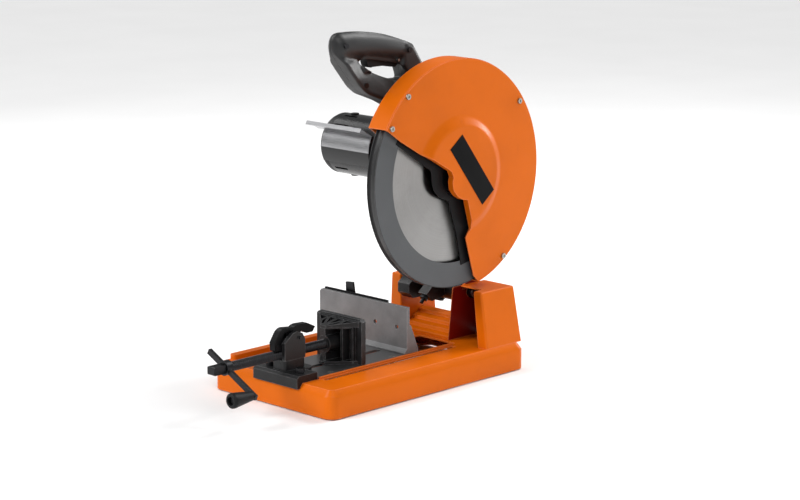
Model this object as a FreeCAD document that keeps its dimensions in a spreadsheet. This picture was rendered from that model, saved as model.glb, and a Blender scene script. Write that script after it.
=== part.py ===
import FreeCAD, Part
import math
import os
import Sketcher
from FreeCAD import Placement, Rotation, Vector

# Metal-cutting chop saw, millimetres.
# X points to the operator's right, Y to the back, Z up. The origin is on the
# floor under the centre of the base tray, and the arm is in its raised position.

doc = FreeCAD.newDocument("chop_saw")
sheet = doc.addObject("Spreadsheet::Sheet", "Dims")

DIMENSIONS = {
    # base tray
    "base_long": 457.0, "base_wide": 281.0, "base_corner": 18.0, "foot_lift": 2.0,
    "skirt_top": 35.0, "deck": 47.0, "bevel_run": 9.0, "wall": 2.5,
    "foot_hole": 4.5, "foot_rad": 14.0, "foot_x": 115.0, "foot_y": 203.0,
    # bed and blade slot
    "bed_left": -40.0, "bed_right": 65.5, "bed_front": -186.0, "bed_back": 48.0, "bed_thick": 3.5,
    "bed_shank": 3.1, "bed_head": 5.2, "fence_shank": 4.2, "vise_shank": 4.0,
    "slot_half": 4.5, "slot_front": -182.0, "slot_back": 121.0,
    # hinge of the arm
    "hinge_y": 186.0, "hinge_z": 128.0, "hinge_shaft": 10.0, "hinge_tube": 22.0,
    "running": 0.06,
    # blade and spindle
    "blade_x": 76.0, "blade_rad": 177.5, "blade_thick": 2.4, "arbor_y": 110.0, "arbor_z": 342.0,
    "arbor_pilot": 12.7, "flange_rad": 30.0, "spindle_rad": 9.0,
    # guards
    "guard_rad": 193.5, "guard_left": 53.6, "guard_right": 95.0, "guard_sheet": 2.0,
    "lower_rad": 188.5, "lower_left": 68.5, "lower_right": 86.0, "lower_sheet": 1.5,
    "boss_rad": 102.0, "boss_top": 80.0, "boss_rise": 9.0, "hub_rad": 24.0,
    # motor and gears
    "motor_y": 106.0, "motor_z": 367.0, "motor_left": -165.0, "motor_small": 52.0, "motor_big": 59.0,
    "case_y": 112.0, "case_z": 360.0, "case_rad": 60.0, "case_right": 46.0,
    "module_fast": 1.25, "module_slow": 1.5,
    # pedestals
    "pedestal_front": 140.0, "pedestal_back": 228.0, "pedestal_top": 142.0,
    # vise
    "screw_x": 13.0, "screw_z": 84.0, "screw_rad": 8.0, "post_y": -185.0, "post_half": 15.5,
    "jaw_half": 52.5, "jaw_face": -79.0, "jaw_low": 51.2, "jaw_top": 126.0, "jaw_plate": 9.0,
    # fence
    "fence_y": 17.0, "fence_left": -143.0, "fence_right": 65.5, "fence_low": 50.9, "fence_top": 129.0,
    "fence_thick": 6.0, "fence_deep": 24.0,
    # handle
    "handle_x": 12.0, "handle_half": 16.5,
}

for row, (word, value) in enumerate(DIMENSIONS.items(), start=1):
    sheet.set("A%d" % row, word)
    sheet.set("B%d" % row, str(value))
    sheet.setAlias("B%d" % row, word)
doc.recompute()

TEETH_MOTOR = 8
TEETH_REDUCTION = 40
TEETH_SECOND = 12
TEETH_SPINDLE = 42
BLADE_TEETH = 90
BED_SCREWS = [(-31, -150), (57, -150), (-31, 0), (57, -10)]
FENCE_BOLTS = [(-24, 33), (48, 33)]
VISE_BOLTS = [(-21, -208), (48, -208)]
PARTS = []


def dim(word):
    return float(sheet.get(word))


def finish_part(feature, label):
    """Name a finished sub-part and keep it for the export."""
    feature.Label = label
    PARTS.append(feature)
    return feature


def bind(feature, sizes):
    """Set properties from numbers, or from expressions given as text."""
    for name, value in sizes.items():
        if isinstance(value, str):
            feature.setExpression(name, value)
        else:
            setattr(feature, name, value)


def put(feature, at, turn=None):
    """Place a feature; each coordinate is a number or an expression."""
    feature.Placement = Placement(Vector(0, 0, 0), turn or Rotation())
    for axis, value in zip("xyz", at):
        feature.setExpression("Placement.Base." + axis, str(value))
    return feature


# ---------------------------------------------------------------- primitives

ALONG_X = Rotation(Vector(0, 1, 0), 90)
ALONG_Y = Rotation(Vector(1, 0, 0), -90)


def box(name, size, at):
    feature = doc.addObject("Part::Box", name)
    bind(feature, dict(zip(("Length", "Width", "Height"), size)))
    return put(feature, at)


def rod(name, radius, length, at, turn=None):
    feature = doc.addObject("Part::Cylinder", name)
    bind(feature, {"Radius": radius, "Height": length})
    return put(feature, at, turn)


def hexagon(name, across, length, at, turn=None):
    """Six-sided bolt head or nut, given its size across the flats."""
    feature = doc.addObject("Part::Prism", name)
    bind(feature, {"Polygon": 6, "Circumradius": across / math.sqrt(3), "Height": length})
    return put(feature, at, turn)


def fuse(name, *shapes):
    feature = doc.addObject("Part::MultiFuse", name)
    feature.Shapes = list(shapes)
    return feature


def cut(name, base, *tools):
    feature = doc.addObject("Part::Cut", name)
    feature.Base = base
    feature.Tool = tools[0] if len(tools) == 1 else fuse(name + "_tools", *tools)
    return feature


def group(name, pieces):
    """Separate solids kept together in one sub-part."""
    feature = doc.addObject("Part::Compound", name)
    feature.Links = pieces
    return finish_part(feature, name)


# ------------------------------------------------------------ sketched bodies

def origin_plane(body, role):
    return [item for item in body.Origin.OriginFeatures if item.Role == role][0]


def sketch(body, role, offset, items):
    """Sketch on an origin plane, lifted off it by a number or an expression.

    Each item is ("circle", u, v, radius) or ("path", points), where a point is
    (u, v) or (u, v, mid_u, mid_v) for an arc that ends there through its middle.
    """
    drawing = body.newObject("Sketcher::SketchObject", body.Name + "_sketch")
    drawing.AttachmentSupport = [(origin_plane(body, role), "")]
    drawing.MapMode = "FlatFace"
    drawing.setExpression(".AttachmentOffset.Base.z", str(offset))
    for item in items:
        if item[0] == "circle":
            add_circle(drawing, *item[1:])
        else:
            add_path(drawing, item[1])
    return drawing


def add_circle(drawing, u, v, radius):
    start = radius if not isinstance(radius, str) else 10.0
    index = drawing.addGeometry(Part.Circle(Vector(u, v, 0), Vector(0, 0, 1), start), False)
    bind_radius(drawing, index, radius)


def bind_radius(drawing, index, radius):
    if isinstance(radius, str):
        row = drawing.addConstraint(Sketcher.Constraint("Radius", index, 10.0))
        drawing.setExpression("Constraints[%d]" % row, radius)


def add_path(drawing, points):
    previous = Vector(points[-1][0], points[-1][1], 0)
    for point in points:
        here = Vector(point[0], point[1], 0)
        if len(point) == 4:
            middle = Vector(point[2], point[3], 0)
            drawing.addGeometry(Part.ArcOfCircle(previous, middle, here), False)
        else:
            drawing.addGeometry(Part.LineSegment(previous, here), False)
        previous = here


def new_body(name):
    return doc.addObject("PartDesign::Body", name)


def extrude(body, kind, role, offset, length, items):
    """Pad or Pocket of a sketch, along the plane's normal from the offset."""
    drawing = sketch(body, role, offset, items)
    feature = body.newObject("PartDesign::" + kind, body.Name + "_" + kind.lower())
    feature.Profile = drawing
    bind(feature, {"Length": length})
    if kind == "Pocket":
        feature.Reversed = True
    return feature


def pad(body, role, offset, length, items):
    return extrude(body, "Pad", role, offset, length, items)


def pocket(body, role, offset, length, items):
    """Cut from the offset along the plane's positive normal."""
    doc.recompute()
    before = body.Shape.Volume
    feature = extrude(body, "Pocket", role, offset, length, items)
    doc.recompute()
    if not body.Shape.Volume < before - 1e-3:
        raise RuntimeError("pocket cut nothing in " + body.Name)
    return feature


def turned(name, profile, centre_y, centre_z, turn=None, centre_x=0):
    """Solid of revolution about X; the profile is a list of (x, radius)."""
    body = new_body(name)
    drawing = sketch(body, "XY_Plane", 0, [("path", profile)])
    spin = body.newObject("PartDesign::Revolution", name + "_turned")
    spin.Profile = drawing
    spin.ReferenceAxis = (drawing, ["H_Axis"])
    spin.Angle = 360
    return put(body, (centre_x, centre_y, centre_z), turn)


def rounded_rectangle(half_u, half_v, radius, centre_u=0.0, centre_v=0.0):
    """Path round a rectangle whose corners are arcs."""
    lean = radius * (1 - math.sqrt(0.5))
    points = []
    for sign_u, sign_v, turn in ((1, -1, 0), (1, 1, 1), (-1, 1, 0), (-1, -1, 1)):
        corner_u = centre_u + sign_u * half_u
        corner_v = centre_v + sign_v * half_v
        along_v = (corner_u, corner_v - sign_v * radius)
        along_u = (corner_u - sign_u * radius, corner_v)
        first, last = (along_u, along_v) if turn == 0 else (along_v, along_u)
        middle = (corner_u - sign_u * lean, corner_v - sign_v * lean)
        points.append(first)
        points.append(last + middle)
    return points


def polar(centre, radius, degrees):
    angle = math.radians(degrees)
    return (centre[0] + radius * math.cos(angle), centre[1] + radius * math.sin(angle))


def sector(centre, radius_in, radius_out, start, end):
    """Path round a ring sector from start to end, in degrees."""
    middle = (start + end) / 2
    return [
        polar(centre, radius_out, start),
        polar(centre, radius_out, end) + polar(centre, radius_out, middle),
        polar(centre, radius_in, end),
        polar(centre, radius_in, start) + polar(centre, radius_in, middle),
    ]


def bent_strip(line, thickness):
    """Closed outline of a bent sheet whose one face follows the line."""
    far_side = []
    for index, (u, v) in enumerate(line):
        before = line[max(index - 1, 0)]
        after = line[min(index + 1, len(line) - 1)]
        first = math.atan2(v - before[1], u - before[0]) if index else None
        second = math.atan2(after[1] - v, after[0] - u) if index < len(line) - 1 else None
        first = second if first is None else first
        second = first if second is None else second
        half = (second - first) / 2
        half = math.atan2(math.sin(half), math.cos(half))
        mean = first + half
        reach = thickness / math.cos(half)
        far_side.append((u + reach * math.sin(mean), v - reach * math.cos(mean)))
    return list(line) + far_side[::-1]


ARBOR = (dim("arbor_y"), dim("arbor_z"))
MOTOR = (dim("motor_y"), dim("motor_z"))


def from_arbor(points):
    """Shift outline points given from the arbor to the part's own frame."""
    shifted = []
    for point in points:
        shifted.append(tuple(value + ARBOR[index % 2] for index, value in enumerate(point)))
    return shifted


# ------------------------------------------------------------------ base

def make_base_tray():
    """Bevelled sheet tray with a blade slot, a chip opening and corner gussets."""
    body = new_body("base_tray")
    half_x = dim("base_wide") / 2
    half_y = dim("base_long") / 2
    radius = dim("base_corner")
    run = dim("bevel_run")
    wall = dim("wall")
    skirt = rounded_rectangle(half_x, half_y, radius)
    pad(body, "XY_Plane", "Dims.foot_lift", "Dims.skirt_top - Dims.foot_lift", [("path", skirt)])
    loft_between(body, "AdditiveLoft", "Dims.skirt_top", skirt, "Dims.deck",
                 rounded_rectangle(half_x - run, half_y - run, radius - run))
    hollow = rounded_rectangle(half_x - wall, half_y - wall, radius - wall)
    pocket(body, "XY_Plane", "Dims.foot_lift", "Dims.skirt_top - Dims.foot_lift - 1",
           [("path", hollow)])
    inside = rounded_rectangle(half_x - wall - run, half_y - wall - run, radius - wall - run + 1)
    loft_between(body, "SubtractiveLoft", "Dims.skirt_top - 1", hollow, "Dims.deck - Dims.wall", inside)
    for side_x in (-1, 1):
        for side_y in (-1, 1):
            gusset = [(side_x * (half_x - 1), side_y * (half_y - 1 - radius)),
                      (side_x * (half_x - 1), side_y * (half_y - 62)),
                      (side_x * (half_x - 62), side_y * (half_y - 1)),
                      (side_x * (half_x - 1 - radius), side_y * (half_y - 1))]
            pad(body, "XY_Plane", "Dims.foot_lift", "Dims.wall", [("path", gusset)])
            pocket(body, "XY_Plane", "Dims.foot_lift", "Dims.wall",
                   [("circle", side_x * dim("foot_x"), side_y * dim("foot_y"), "Dims.foot_hole")])
    ridge = rounded_rectangle(7, 168, 6.9, -half_x + run + 8, -34)
    pad(body, "XY_Plane", "Dims.deck - 1", 10, [("path", ridge)])
    lip = rounded_rectangle(2, 154, 1.9, dim("bed_right") + 2.3, -32)
    pad(body, "XY_Plane", "Dims.deck - 1", 4.5, [("path", lip)])
    slot_middle = (dim("slot_front") + dim("slot_back")) / 2
    slot_reach = (dim("slot_back") - dim("slot_front")) / 2
    openings = [
        ("path", rounded_rectangle(dim("slot_half"), slot_reach, 4.4, dim("blade_x"), slot_middle)),
        ("path", rounded_rectangle(42.5, 42, 5, 21.5, 94)),
        ("path", rounded_rectangle(7, 82, 6.9, dim("screw_x"), -76)),
    ]
    openings += [("circle", x, y, "Dims.bed_shank") for x, y in BED_SCREWS]
    openings += [("circle", x, y, "Dims.fence_shank") for x, y in FENCE_BOLTS]
    openings += [("circle", x, y, "Dims.vise_shank") for x, y in VISE_BOLTS]
    pocket(body, "XY_Plane", "Dims.deck - Dims.wall - 2", 12, openings)
    return finish_part(body, "base_tray")


def loft_between(body, kind, low, low_path, high, high_path):
    lower = sketch(body, "XY_Plane", low, [("path", low_path)])
    upper = sketch(body, "XY_Plane", high, [("path", high_path)])
    feature = body.newObject("PartDesign::" + kind, body.Name + "_loft")
    feature.Profile = lower
    feature.Sections = [upper]
    feature.Ruled = True
    return feature


def make_rubber_feet():
    feet = []
    for side_x in (-1, 1):
        for side_y in (-1, 1):
            at = (side_x * dim("foot_x"), side_y * dim("foot_y"), 0)
            disc = rod("foot_disc", "Dims.foot_rad", "Dims.foot_lift", at)
            hole = rod("foot_bore", "Dims.foot_hole", "Dims.foot_lift", at)
            feet.append(cut("foot", disc, hole))
    return group("rubber_feet", feet)


def make_bed_plate():
    """Ground steel plate with the guide slot of the movable jaw."""
    body = new_body("bed_plate")
    mid_x = (dim("bed_left") + dim("bed_right")) / 2
    mid_y = (dim("bed_front") + dim("bed_back")) / 2
    half_x = (dim("bed_right") - dim("bed_left")) / 2
    half_y = (dim("bed_back") - dim("bed_front")) / 2
    pad(body, "XY_Plane", "Dims.deck", "Dims.bed_thick",
        [("path", rounded_rectangle(half_x, half_y, 3, mid_x, mid_y))])
    holes = [("circle", x, y, "Dims.bed_shank") for x, y in BED_SCREWS]
    holes += [("circle", x, y, "Dims.fence_shank") for x, y in FENCE_BOLTS]
    slot = ("path", rounded_rectangle(5.5, 81, 5.4, dim("screw_x"), -76))
    pocket(body, "XY_Plane", "Dims.deck", "Dims.bed_thick", holes + [slot])
    sinks = [("circle", x, y, "Dims.bed_head") for x, y in BED_SCREWS]
    pocket(body, "XY_Plane", "Dims.deck + 1", "Dims.bed_thick - 1", sinks)
    return finish_part(body, "bed_plate")


def make_bed_screws():
    """Screws sunk flush in the bed, so that the jaw slides over them."""
    screws = []
    for x, y in BED_SCREWS:
        shank = rod("bed_shank", "Dims.bed_shank", 12, (x, y, "Dims.deck - 10.5"))
        head = rod("bed_head", "Dims.bed_head", 2.3, (x, y, "Dims.deck + 1"))
        socket = hexagon("bed_socket", 4, 1.5, (x, y, "Dims.deck + 1.8"))
        screws.append(cut("bed_screw", fuse("bed_screw_sum", shank, head), socket))
    return group("bed_screws", screws)


def wedge(name, low, high, inset):
    """Tapered block standing on its large end: (x0, x1, y0, y1, z) at each end."""
    feature = doc.addObject("Part::Wedge", name)
    feature.Xmin, feature.Xmax = low[0] + inset, low[1] - inset
    feature.Zmin, feature.Zmax = -low[3] + inset, -low[2] - inset
    feature.Ymin, feature.Ymax = low[4], high[4]
    feature.X2min, feature.X2max = high[0] + inset, high[1] - inset
    feature.Z2min, feature.Z2max = -high[3] + inset, -high[2] - inset
    feature.Placement = Placement(Vector(0, 0, 0), Rotation(Vector(1, 0, 0), 90))
    return feature


def rounded_wedge(name, low, high, radius):
    """Tapered block with its upright and top edges rounded."""
    block = wedge(name + "_block", low, high, 0)
    doc.recompute()
    feature = doc.addObject("Part::Fillet", name)
    feature.Base = block
    rounded = []
    for index, edge in enumerate(block.Shape.Edges, start=1):
        box_of = edge.BoundBox
        if box_of.ZMax > low[4] + 1:
            rounded.append((index, radius, radius))
    feature.Edges = rounded
    return feature


def make_right_pedestal():
    """Open-fronted tapered box that carries the right end of the hinge shaft."""
    deck, top = dim("deck"), dim("pedestal_top")
    front, back = dim("pedestal_front"), dim("pedestal_back")
    low = (40, 132, front, back, deck)
    high = (50, 118, front, back - 6, top)
    wall = dim("wall")
    outer = rounded_wedge("right_pedestal_outer", low, high, 4)
    inner = wedge("right_pedestal_inner", low[:4] + (deck - 1,), high[:4] + (top - wall,), wall)
    mouth = wedge("right_pedestal_mouth", (42.5, 112, front - 2, front + 4, deck - 1),
                  (52.5, 101, front - 2, front + 4, top - wall), 0)
    relief = box("right_pedestal_relief", (48.5, 24, 12), (52.6, front - 3, top - 6))
    body = new_body("right_pedestal_ear")
    ear = [(front + 24, top - 8), (dim("hinge_y") - 12, top + 6), (dim("hinge_y") + 14, top + 6),
           (back - 9, top - 8)]
    pad(body, "YZ_Plane", 48.2, 4.4, [("path", ear)])
    bore = rod("right_pedestal_bore", "Dims.hinge_shaft", 40, (30, "Dims.hinge_y", "Dims.hinge_z"), ALONG_X)
    shell = cut("right_pedestal_shell", outer, inner, mouth, relief)
    return finish_part(cut("right_pedestal_cut", fuse("right_pedestal_sum", shell, body), bore),
                       "right_pedestal")


def make_left_pedestal():
    deck, top = dim("deck"), dim("pedestal_top") + 4
    front, back = dim("pedestal_front"), dim("pedestal_back")
    low = (-97, -67, front, back, deck)
    high = (-92, -70.5, front, back - 6, top)
    wall = dim("wall")
    outer = rounded_wedge("left_pedestal_outer", low, high, 3)
    inner = wedge("left_pedestal_inner", low[:4] + (deck - 1,), high[:4] + (top - wall,), wall)
    bore = rod("left_pedestal_bore", "Dims.hinge_shaft", 60, (-110, "Dims.hinge_y", "Dims.hinge_z"), ALONG_X)
    return finish_part(cut("left_pedestal_cut", outer, inner, bore), "left_pedestal")


def make_rear_crossbeam():
    """Ridged sheet that ties the two pedestals together."""
    body = new_body("rear_crossbeam")
    ridges = [(143, 47), (143, 53), (152, 57), (153.5, 62), (165, 65.5), (166.5, 70.5),
              (180, 74), (181.5, 79), (196, 82), (205, 77), (205, 47)]
    pad(body, "YZ_Plane", -66.5, 106, [("path", bent_strip(ridges, dim("wall")))])
    return finish_part(body, "rear_crossbeam")


# ------------------------------------------------------------------ hinge

def make_hinge_parts():
    at_hinge = ("Dims.hinge_y", "Dims.hinge_z")
    shaft = rod("hinge_shaft_core", "Dims.hinge_shaft", 168, (-104,) + at_hinge, ALONG_X)
    finish_part(shaft, "hinge_shaft")
    nut = hexagon("hinge_nut_block", 30, 9, (-103.5,) + at_hinge, ALONG_X)
    hole = rod("hinge_nut_hole", "Dims.hinge_shaft", 9, (-103.5,) + at_hinge, ALONG_X)
    collar = ring_x("hinge_collar", dim("hinge_shaft"), dim("hinge_shaft") + 1.4, 8, 53, at_hinge)
    group("hinge_nuts", [cut("hinge_nut", nut, hole), collar])
    bushes = []
    for start in (-66, 28):
        outside = rod("bush_out", "Dims.hinge_shaft + 3", 17.6, (start,) + at_hinge, ALONG_X)
        inside = rod("bush_in", "Dims.hinge_shaft + Dims.running", 17.6, (start,) + at_hinge, ALONG_X)
        bushes.append(cut("bush", outside, inside))
    group("hinge_bushes", bushes)


def make_torsion_spring():
    """Return spring wound round the hinge shaft between the pedestals."""
    wire_rad, coil_rad, pitch, turns = 2.0, 26.0, 4.4, 5
    helix = Part.makeHelix(pitch, pitch * turns, coil_rad)
    start = Vector(coil_rad, 0, 0)
    circle = Part.Wire(Part.makeCircle(wire_rad, start, Vector(0, 1, 0)))
    coil = Part.Wire(helix).makePipeShell([circle], True, True)
    feature = doc.addObject("Part::Feature", "torsion_spring")
    feature.Shape = coil
    feature.Placement = Placement(Vector(-35, dim("hinge_y"), dim("hinge_z")), ALONG_X)
    return finish_part(feature, "torsion_spring")


# ------------------------------------------------------------------ arm

def make_arm_casting():
    """Hinge tube, forward lug and ribbed beam up to the gear case."""
    body = new_body("arm_beam")
    hinge = (dim("hinge_y"), dim("hinge_z"))
    pad(body, "YZ_Plane", -66, 111.6, [("circle", hinge[0], hinge[1], "Dims.hinge_tube")])
    lug = [(129, 118), (140, 108), (182, 108), (186, 148), (146, 146), (129, 134)]
    pad(body, "YZ_Plane", -66, 27, [("path", lug)])
    beam = [(167, 132), (206, 134), (196, 250), (176, 318), (150, 356), (92, 356), (96, 312), (140, 240)]
    pad(body, "YZ_Plane", 0, 34, [("path", beam)])
    stop_lug = [(150, 150), (120, 126), (134, 112), (172, 118)]
    pad(body, "YZ_Plane", -9, 20, [("path", stop_lug)])
    pockets = [
        ("path", [(176, 152), (195, 154), (188, 232), (152, 244)]),
        ("path", [(146, 254), (186, 242), (172, 292), (118, 294)]),
    ]
    pocket(body, "YZ_Plane", 0, 12, pockets)
    pocket(body, "YZ_Plane", 22, 12, pockets)
    case = ("circle", dim("case_y"), dim("case_z"), "Dims.case_rad")
    pocket(body, "YZ_Plane", -1, 50, [case])
    pocket(body, "YZ_Plane", -66, 17.8, [("circle", hinge[0], hinge[1], "Dims.hinge_shaft + 3")])
    pocket(body, "YZ_Plane", 28, 20, [("circle", hinge[0], hinge[1], "Dims.hinge_shaft + 3")])
    pocket(body, "YZ_Plane", -49, 78, [("circle", hinge[0], hinge[1], "Dims.hinge_shaft + 1")])
    return finish_part(cut("arm_casting_cut", body, stop_rod("stop_hole")), "arm_casting")


STOP_TIP = (117.1, 110.1)
STOP_NUT = (126.2, 119.2)
STOP_TURN = Rotation(Vector(1, 0, 0), 135)


def stop_rod(name):
    """Threaded rod through the stop lug, pointing forward and down."""
    return rod(name, 3.2, 46, (1, STOP_TIP[0] + 32.5, STOP_TIP[1] + 32.5), STOP_TURN)


def make_depth_stop():
    finish_part(stop_rod("stop_rod"), "depth_stop_bolt")
    nut = hexagon("stop_nut_block", 13, 5, (1,) + STOP_NUT, STOP_TURN)
    hole = rod("stop_nut_hole", 3.2, 5, (1,) + STOP_NUT, STOP_TURN)
    finish_part(cut("stop_nut", nut, hole), "depth_stop_nut")


# ------------------------------------------------------------------ gear case

def countershaft_centre():
    """Axis at one mesh distance from the motor pinion and one from the spindle gear."""
    near = dim("module_fast") * (TEETH_MOTOR + TEETH_REDUCTION) / 2
    far = dim("module_slow") * (TEETH_SECOND + TEETH_SPINDLE) / 2
    gap = math.dist(MOTOR, ARBOR)
    along = (near ** 2 - far ** 2 + gap ** 2) / (2 * gap)
    side = math.sqrt(near ** 2 - along ** 2)
    unit = ((ARBOR[0] - MOTOR[0]) / gap, (ARBOR[1] - MOTOR[1]) / gap)
    return (MOTOR[0] + along * unit[0] - side * unit[1], MOTOR[1] + along * unit[1] + side * unit[0])


COUNTER = countershaft_centre()


def make_gear_case():
    """Drum that holds the two reduction stages, with a pad for the handle."""
    body = new_body("gear_case")
    case = (dim("case_y"), dim("case_z"))
    pad(body, "YZ_Plane", 0, "Dims.case_right", [("circle", case[0], case[1], "Dims.case_rad")])
    saddle = [(60, 405), (112, 405), (112, 432), (60, 432)]
    pad(body, "YZ_Plane", 0, 26, [("path", saddle)])
    pocket(body, "YZ_Plane", 5, "Dims.case_right - 5", [("circle", case[0], case[1], "Dims.case_rad - 4")])
    for angle in CASE_BOLTS:
        y, z = polar(case, dim("case_rad") - 5.5, angle)
        pad(body, "YZ_Plane", 38, "Dims.case_right - 38", [("circle", y, z, 5)])
        pocket(body, "YZ_Plane", 42, "Dims.case_right - 42", [("circle", y, z, 2.4)])
    pocket(body, "YZ_Plane", 0, 5,
           [("circle", MOTOR[0], MOTOR[1], 14), ("circle", COUNTER[0], COUNTER[1], 6.06)])
    pocket(body, "YZ_Plane", 0, 5, [("circle", ARBOR[0], ARBOR[1], 7.56)])
    return finish_part(body, "gear_case")


CASE_BOLTS = (20, 90, 160, 212, 328)
GUARD_BOLTS = (15, 105, 195, 285)


def make_gear_case_cover():
    """Right wall of the gear case, with the bearing nose that carries the lower guard."""
    body = new_body("gear_case_cover")
    case = (dim("case_y"), dim("case_z"))
    nose = (ARBOR[0], ARBOR[1])
    pad(body, "YZ_Plane", "Dims.case_right", 4, [("circle", case[0], case[1], "Dims.case_rad")])
    pad(body, "YZ_Plane", "Dims.case_right + 3", "Dims.guard_left - Dims.case_right - 3",
        [("circle", nose[0], nose[1], 40)])
    pad(body, "YZ_Plane", "Dims.guard_left - 1", "69.6 - Dims.guard_left + 1",
        [("circle", nose[0], nose[1], "Dims.hub_rad")])
    pad(body, "YZ_Plane", "Dims.guard_left + Dims.guard_sheet", 6, [("circle", nose[0], nose[1], 30)])
    pocket(body, "YZ_Plane", "Dims.case_right", 30, [("circle", nose[0], nose[1], 12)])
    pocket(body, "YZ_Plane", "Dims.case_right", 16, [("circle", nose[0], nose[1], 20)])
    pocket(body, "YZ_Plane", "Dims.case_right", 4, [("circle", COUNTER[0], COUNTER[1], 6.06)])
    case_holes = [("circle",) + polar(case, dim("case_rad") - 5.5, angle) + (2.4,) for angle in CASE_BOLTS]
    pocket(body, "YZ_Plane", "Dims.case_right", 4, case_holes)
    holes = [polar(nose, 35, angle) for angle in GUARD_BOLTS]
    pocket(body, "YZ_Plane", "Dims.case_right + 2", 7, [("circle", y, z, 2.4) for y, z in holes])
    return finish_part(body, "gear_case_cover")


def make_gear_case_screws():
    """Identical screws: five hold the cover, four more hold the upper guard."""
    case = (dim("case_y"), dim("case_z"))
    places = [("Dims.case_right + 4", polar(case, dim("case_rad") - 5.5, angle)) for angle in CASE_BOLTS]
    sheet_face = "Dims.guard_left + Dims.guard_sheet"
    places += [(sheet_face, polar(ARBOR, 35, angle)) for angle in GUARD_BOLTS]
    screws = []
    for face, (y, z) in places:
        head = rod("case_screw_head", 4.2, 3, (face, y, z), ALONG_X)
        shank = rod("case_screw_shank", 2.4, 7, (face + " - 7", y, z), ALONG_X)
        screws.append(fuse("case_screw", head, shank))
    return group("gear_case_screws", screws)


def gear_outline(teeth, module, centre, turn, relief=0.12):
    """Involute gear outline; one tooth's centre line points at the angle turn."""
    pitch = teeth * module / 2
    base = pitch * math.cos(math.radians(20))
    tip = pitch + 0.9 * module
    root = pitch - 1.2 * module
    flank = []
    for step in range(5):
        radius = max(base, root) + (tip - max(base, root)) * step / 4
        roll = math.sqrt(max((radius / base) ** 2 - 1, 0))
        flank.append((radius, roll - math.atan(roll)))
    roll_pitch = math.sqrt((pitch / base) ** 2 - 1)
    half = math.pi / 2 / teeth + roll_pitch - math.atan(roll_pitch) - relief / pitch
    points = []
    for index in range(teeth):
        middle = math.radians(turn) + 2 * math.pi * index / teeth
        rising = [(root, half)] + [(radius, half - opening) for radius, opening in flank]
        for radius, offset in rising:
            points.append((radius, middle - offset))
        for radius, offset in rising[::-1]:
            points.append((radius, middle + offset))
    return [(centre[0] + r * math.cos(a), centre[1] + r * math.sin(a)) for r, a in points]


def prism_yz(points, start, length):
    """Polygon in the YZ plane extruded along X."""
    vectors = [Vector(start, y, z) for y, z in points]
    face = Part.Face(Part.makePolygon(vectors + vectors[:1]))
    return face.extrude(Vector(length, 0, 0))


def bore_x(centre, radius, start, length):
    return Part.makeCylinder(radius, length, Vector(start, centre[0], centre[1]), Vector(1, 0, 0))


def gear_shape(teeth, module, centre, turn, start, width, bore):
    shape = prism_yz(gear_outline(teeth, module, centre, turn), start, width)
    return shape.cut(bore_x(centre, bore, start - 1, width + 2))


def shape_feature(name, shape):
    feature = doc.addObject("Part::Feature", name)
    feature.Shape = shape
    return feature


def direction(start, end):
    return math.degrees(math.atan2(end[1] - start[1], end[0] - start[0]))


FAST_X = 5.6
SLOW_X = 22.0


def motor_pinion():
    """Small gear cut on the end of the motor shaft."""
    turn = direction(MOTOR, COUNTER)
    shape = gear_shape(TEETH_MOTOR, dim("module_fast"), MOTOR, turn, FAST_X, 10, 2)
    return shape_feature("motor_pinion", shape)


def make_gears():
    """Cluster gear and spindle gear, in mesh with the motor pinion at rest."""
    fast, slow = dim("module_fast"), dim("module_slow")
    gap_turn = direction(MOTOR, COUNTER) + 180 + 180 / TEETH_REDUCTION
    large = gear_shape(TEETH_REDUCTION, fast, COUNTER, gap_turn, FAST_X + 0.5, 9, 5)
    small_turn = direction(COUNTER, ARBOR)
    small = gear_shape(TEETH_SECOND, slow, COUNTER, small_turn, SLOW_X - 2, 16, 5)
    shaft = rod("cluster_shaft", 6, 49, (0.6, COUNTER[0], COUNTER[1]), ALONG_X)
    cluster = fuse("cluster", shape_feature("large", large), shape_feature("small", small), shaft)
    finish_part(cluster, "intermediate_gear")
    gap_turn = small_turn + 180 + 180 / TEETH_SPINDLE
    output = gear_shape(TEETH_SPINDLE, slow, ARBOR, gap_turn, SLOW_X, 12, dim("spindle_rad"))
    finish_part(shape_feature("output", output), "spindle_gear")


# ------------------------------------------------------------------ spindle and blade

def make_spindle_parts():
    profile = [(0.5, 0), (0.5, 7.5), (18, 7.5), (18, 9), (70.2, 9), (70.2, 8), (77, 8), (77, 5),
               (58, 5), (58, 0)]
    finish_part(turned("spindle", profile, "Dims.arbor_y", "Dims.arbor_z"), "spindle")
    left, right = dim("blade_x") - dim("blade_thick") / 2, dim("blade_x") + dim("blade_thick") / 2
    pilot, reach = dim("arbor_pilot"), dim("flange_rad")
    inner = [(71, 8), (71, 24), (72, reach), (left, reach), (left, pilot), (right - 0.2, pilot),
             (right - 0.2, 8)]
    outer = [(right, 5), (right, reach), (right + 2.5, reach), (right + 4, 22), (right + 4, 5)]
    group("blade_flanges", [turned("inner_flange", inner, "Dims.arbor_y", "Dims.arbor_z"),
                            turned("outer_flange", outer, "Dims.arbor_y", "Dims.arbor_z")])
    at = (right + 4, "Dims.arbor_y", "Dims.arbor_z")
    washer = rod("arbor_washer", 11, 1.5, at, ALONG_X)
    head = hexagon("arbor_head", 17, 6, (right + 5.5, "Dims.arbor_y", "Dims.arbor_z"), ALONG_X)
    shank = rod("arbor_shank", 5, right + 4 - 60, (60, "Dims.arbor_y", "Dims.arbor_z"), ALONG_X)
    finish_part(fuse("arbor_bolt_sum", washer, head, shank), "arbor_bolt")


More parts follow.
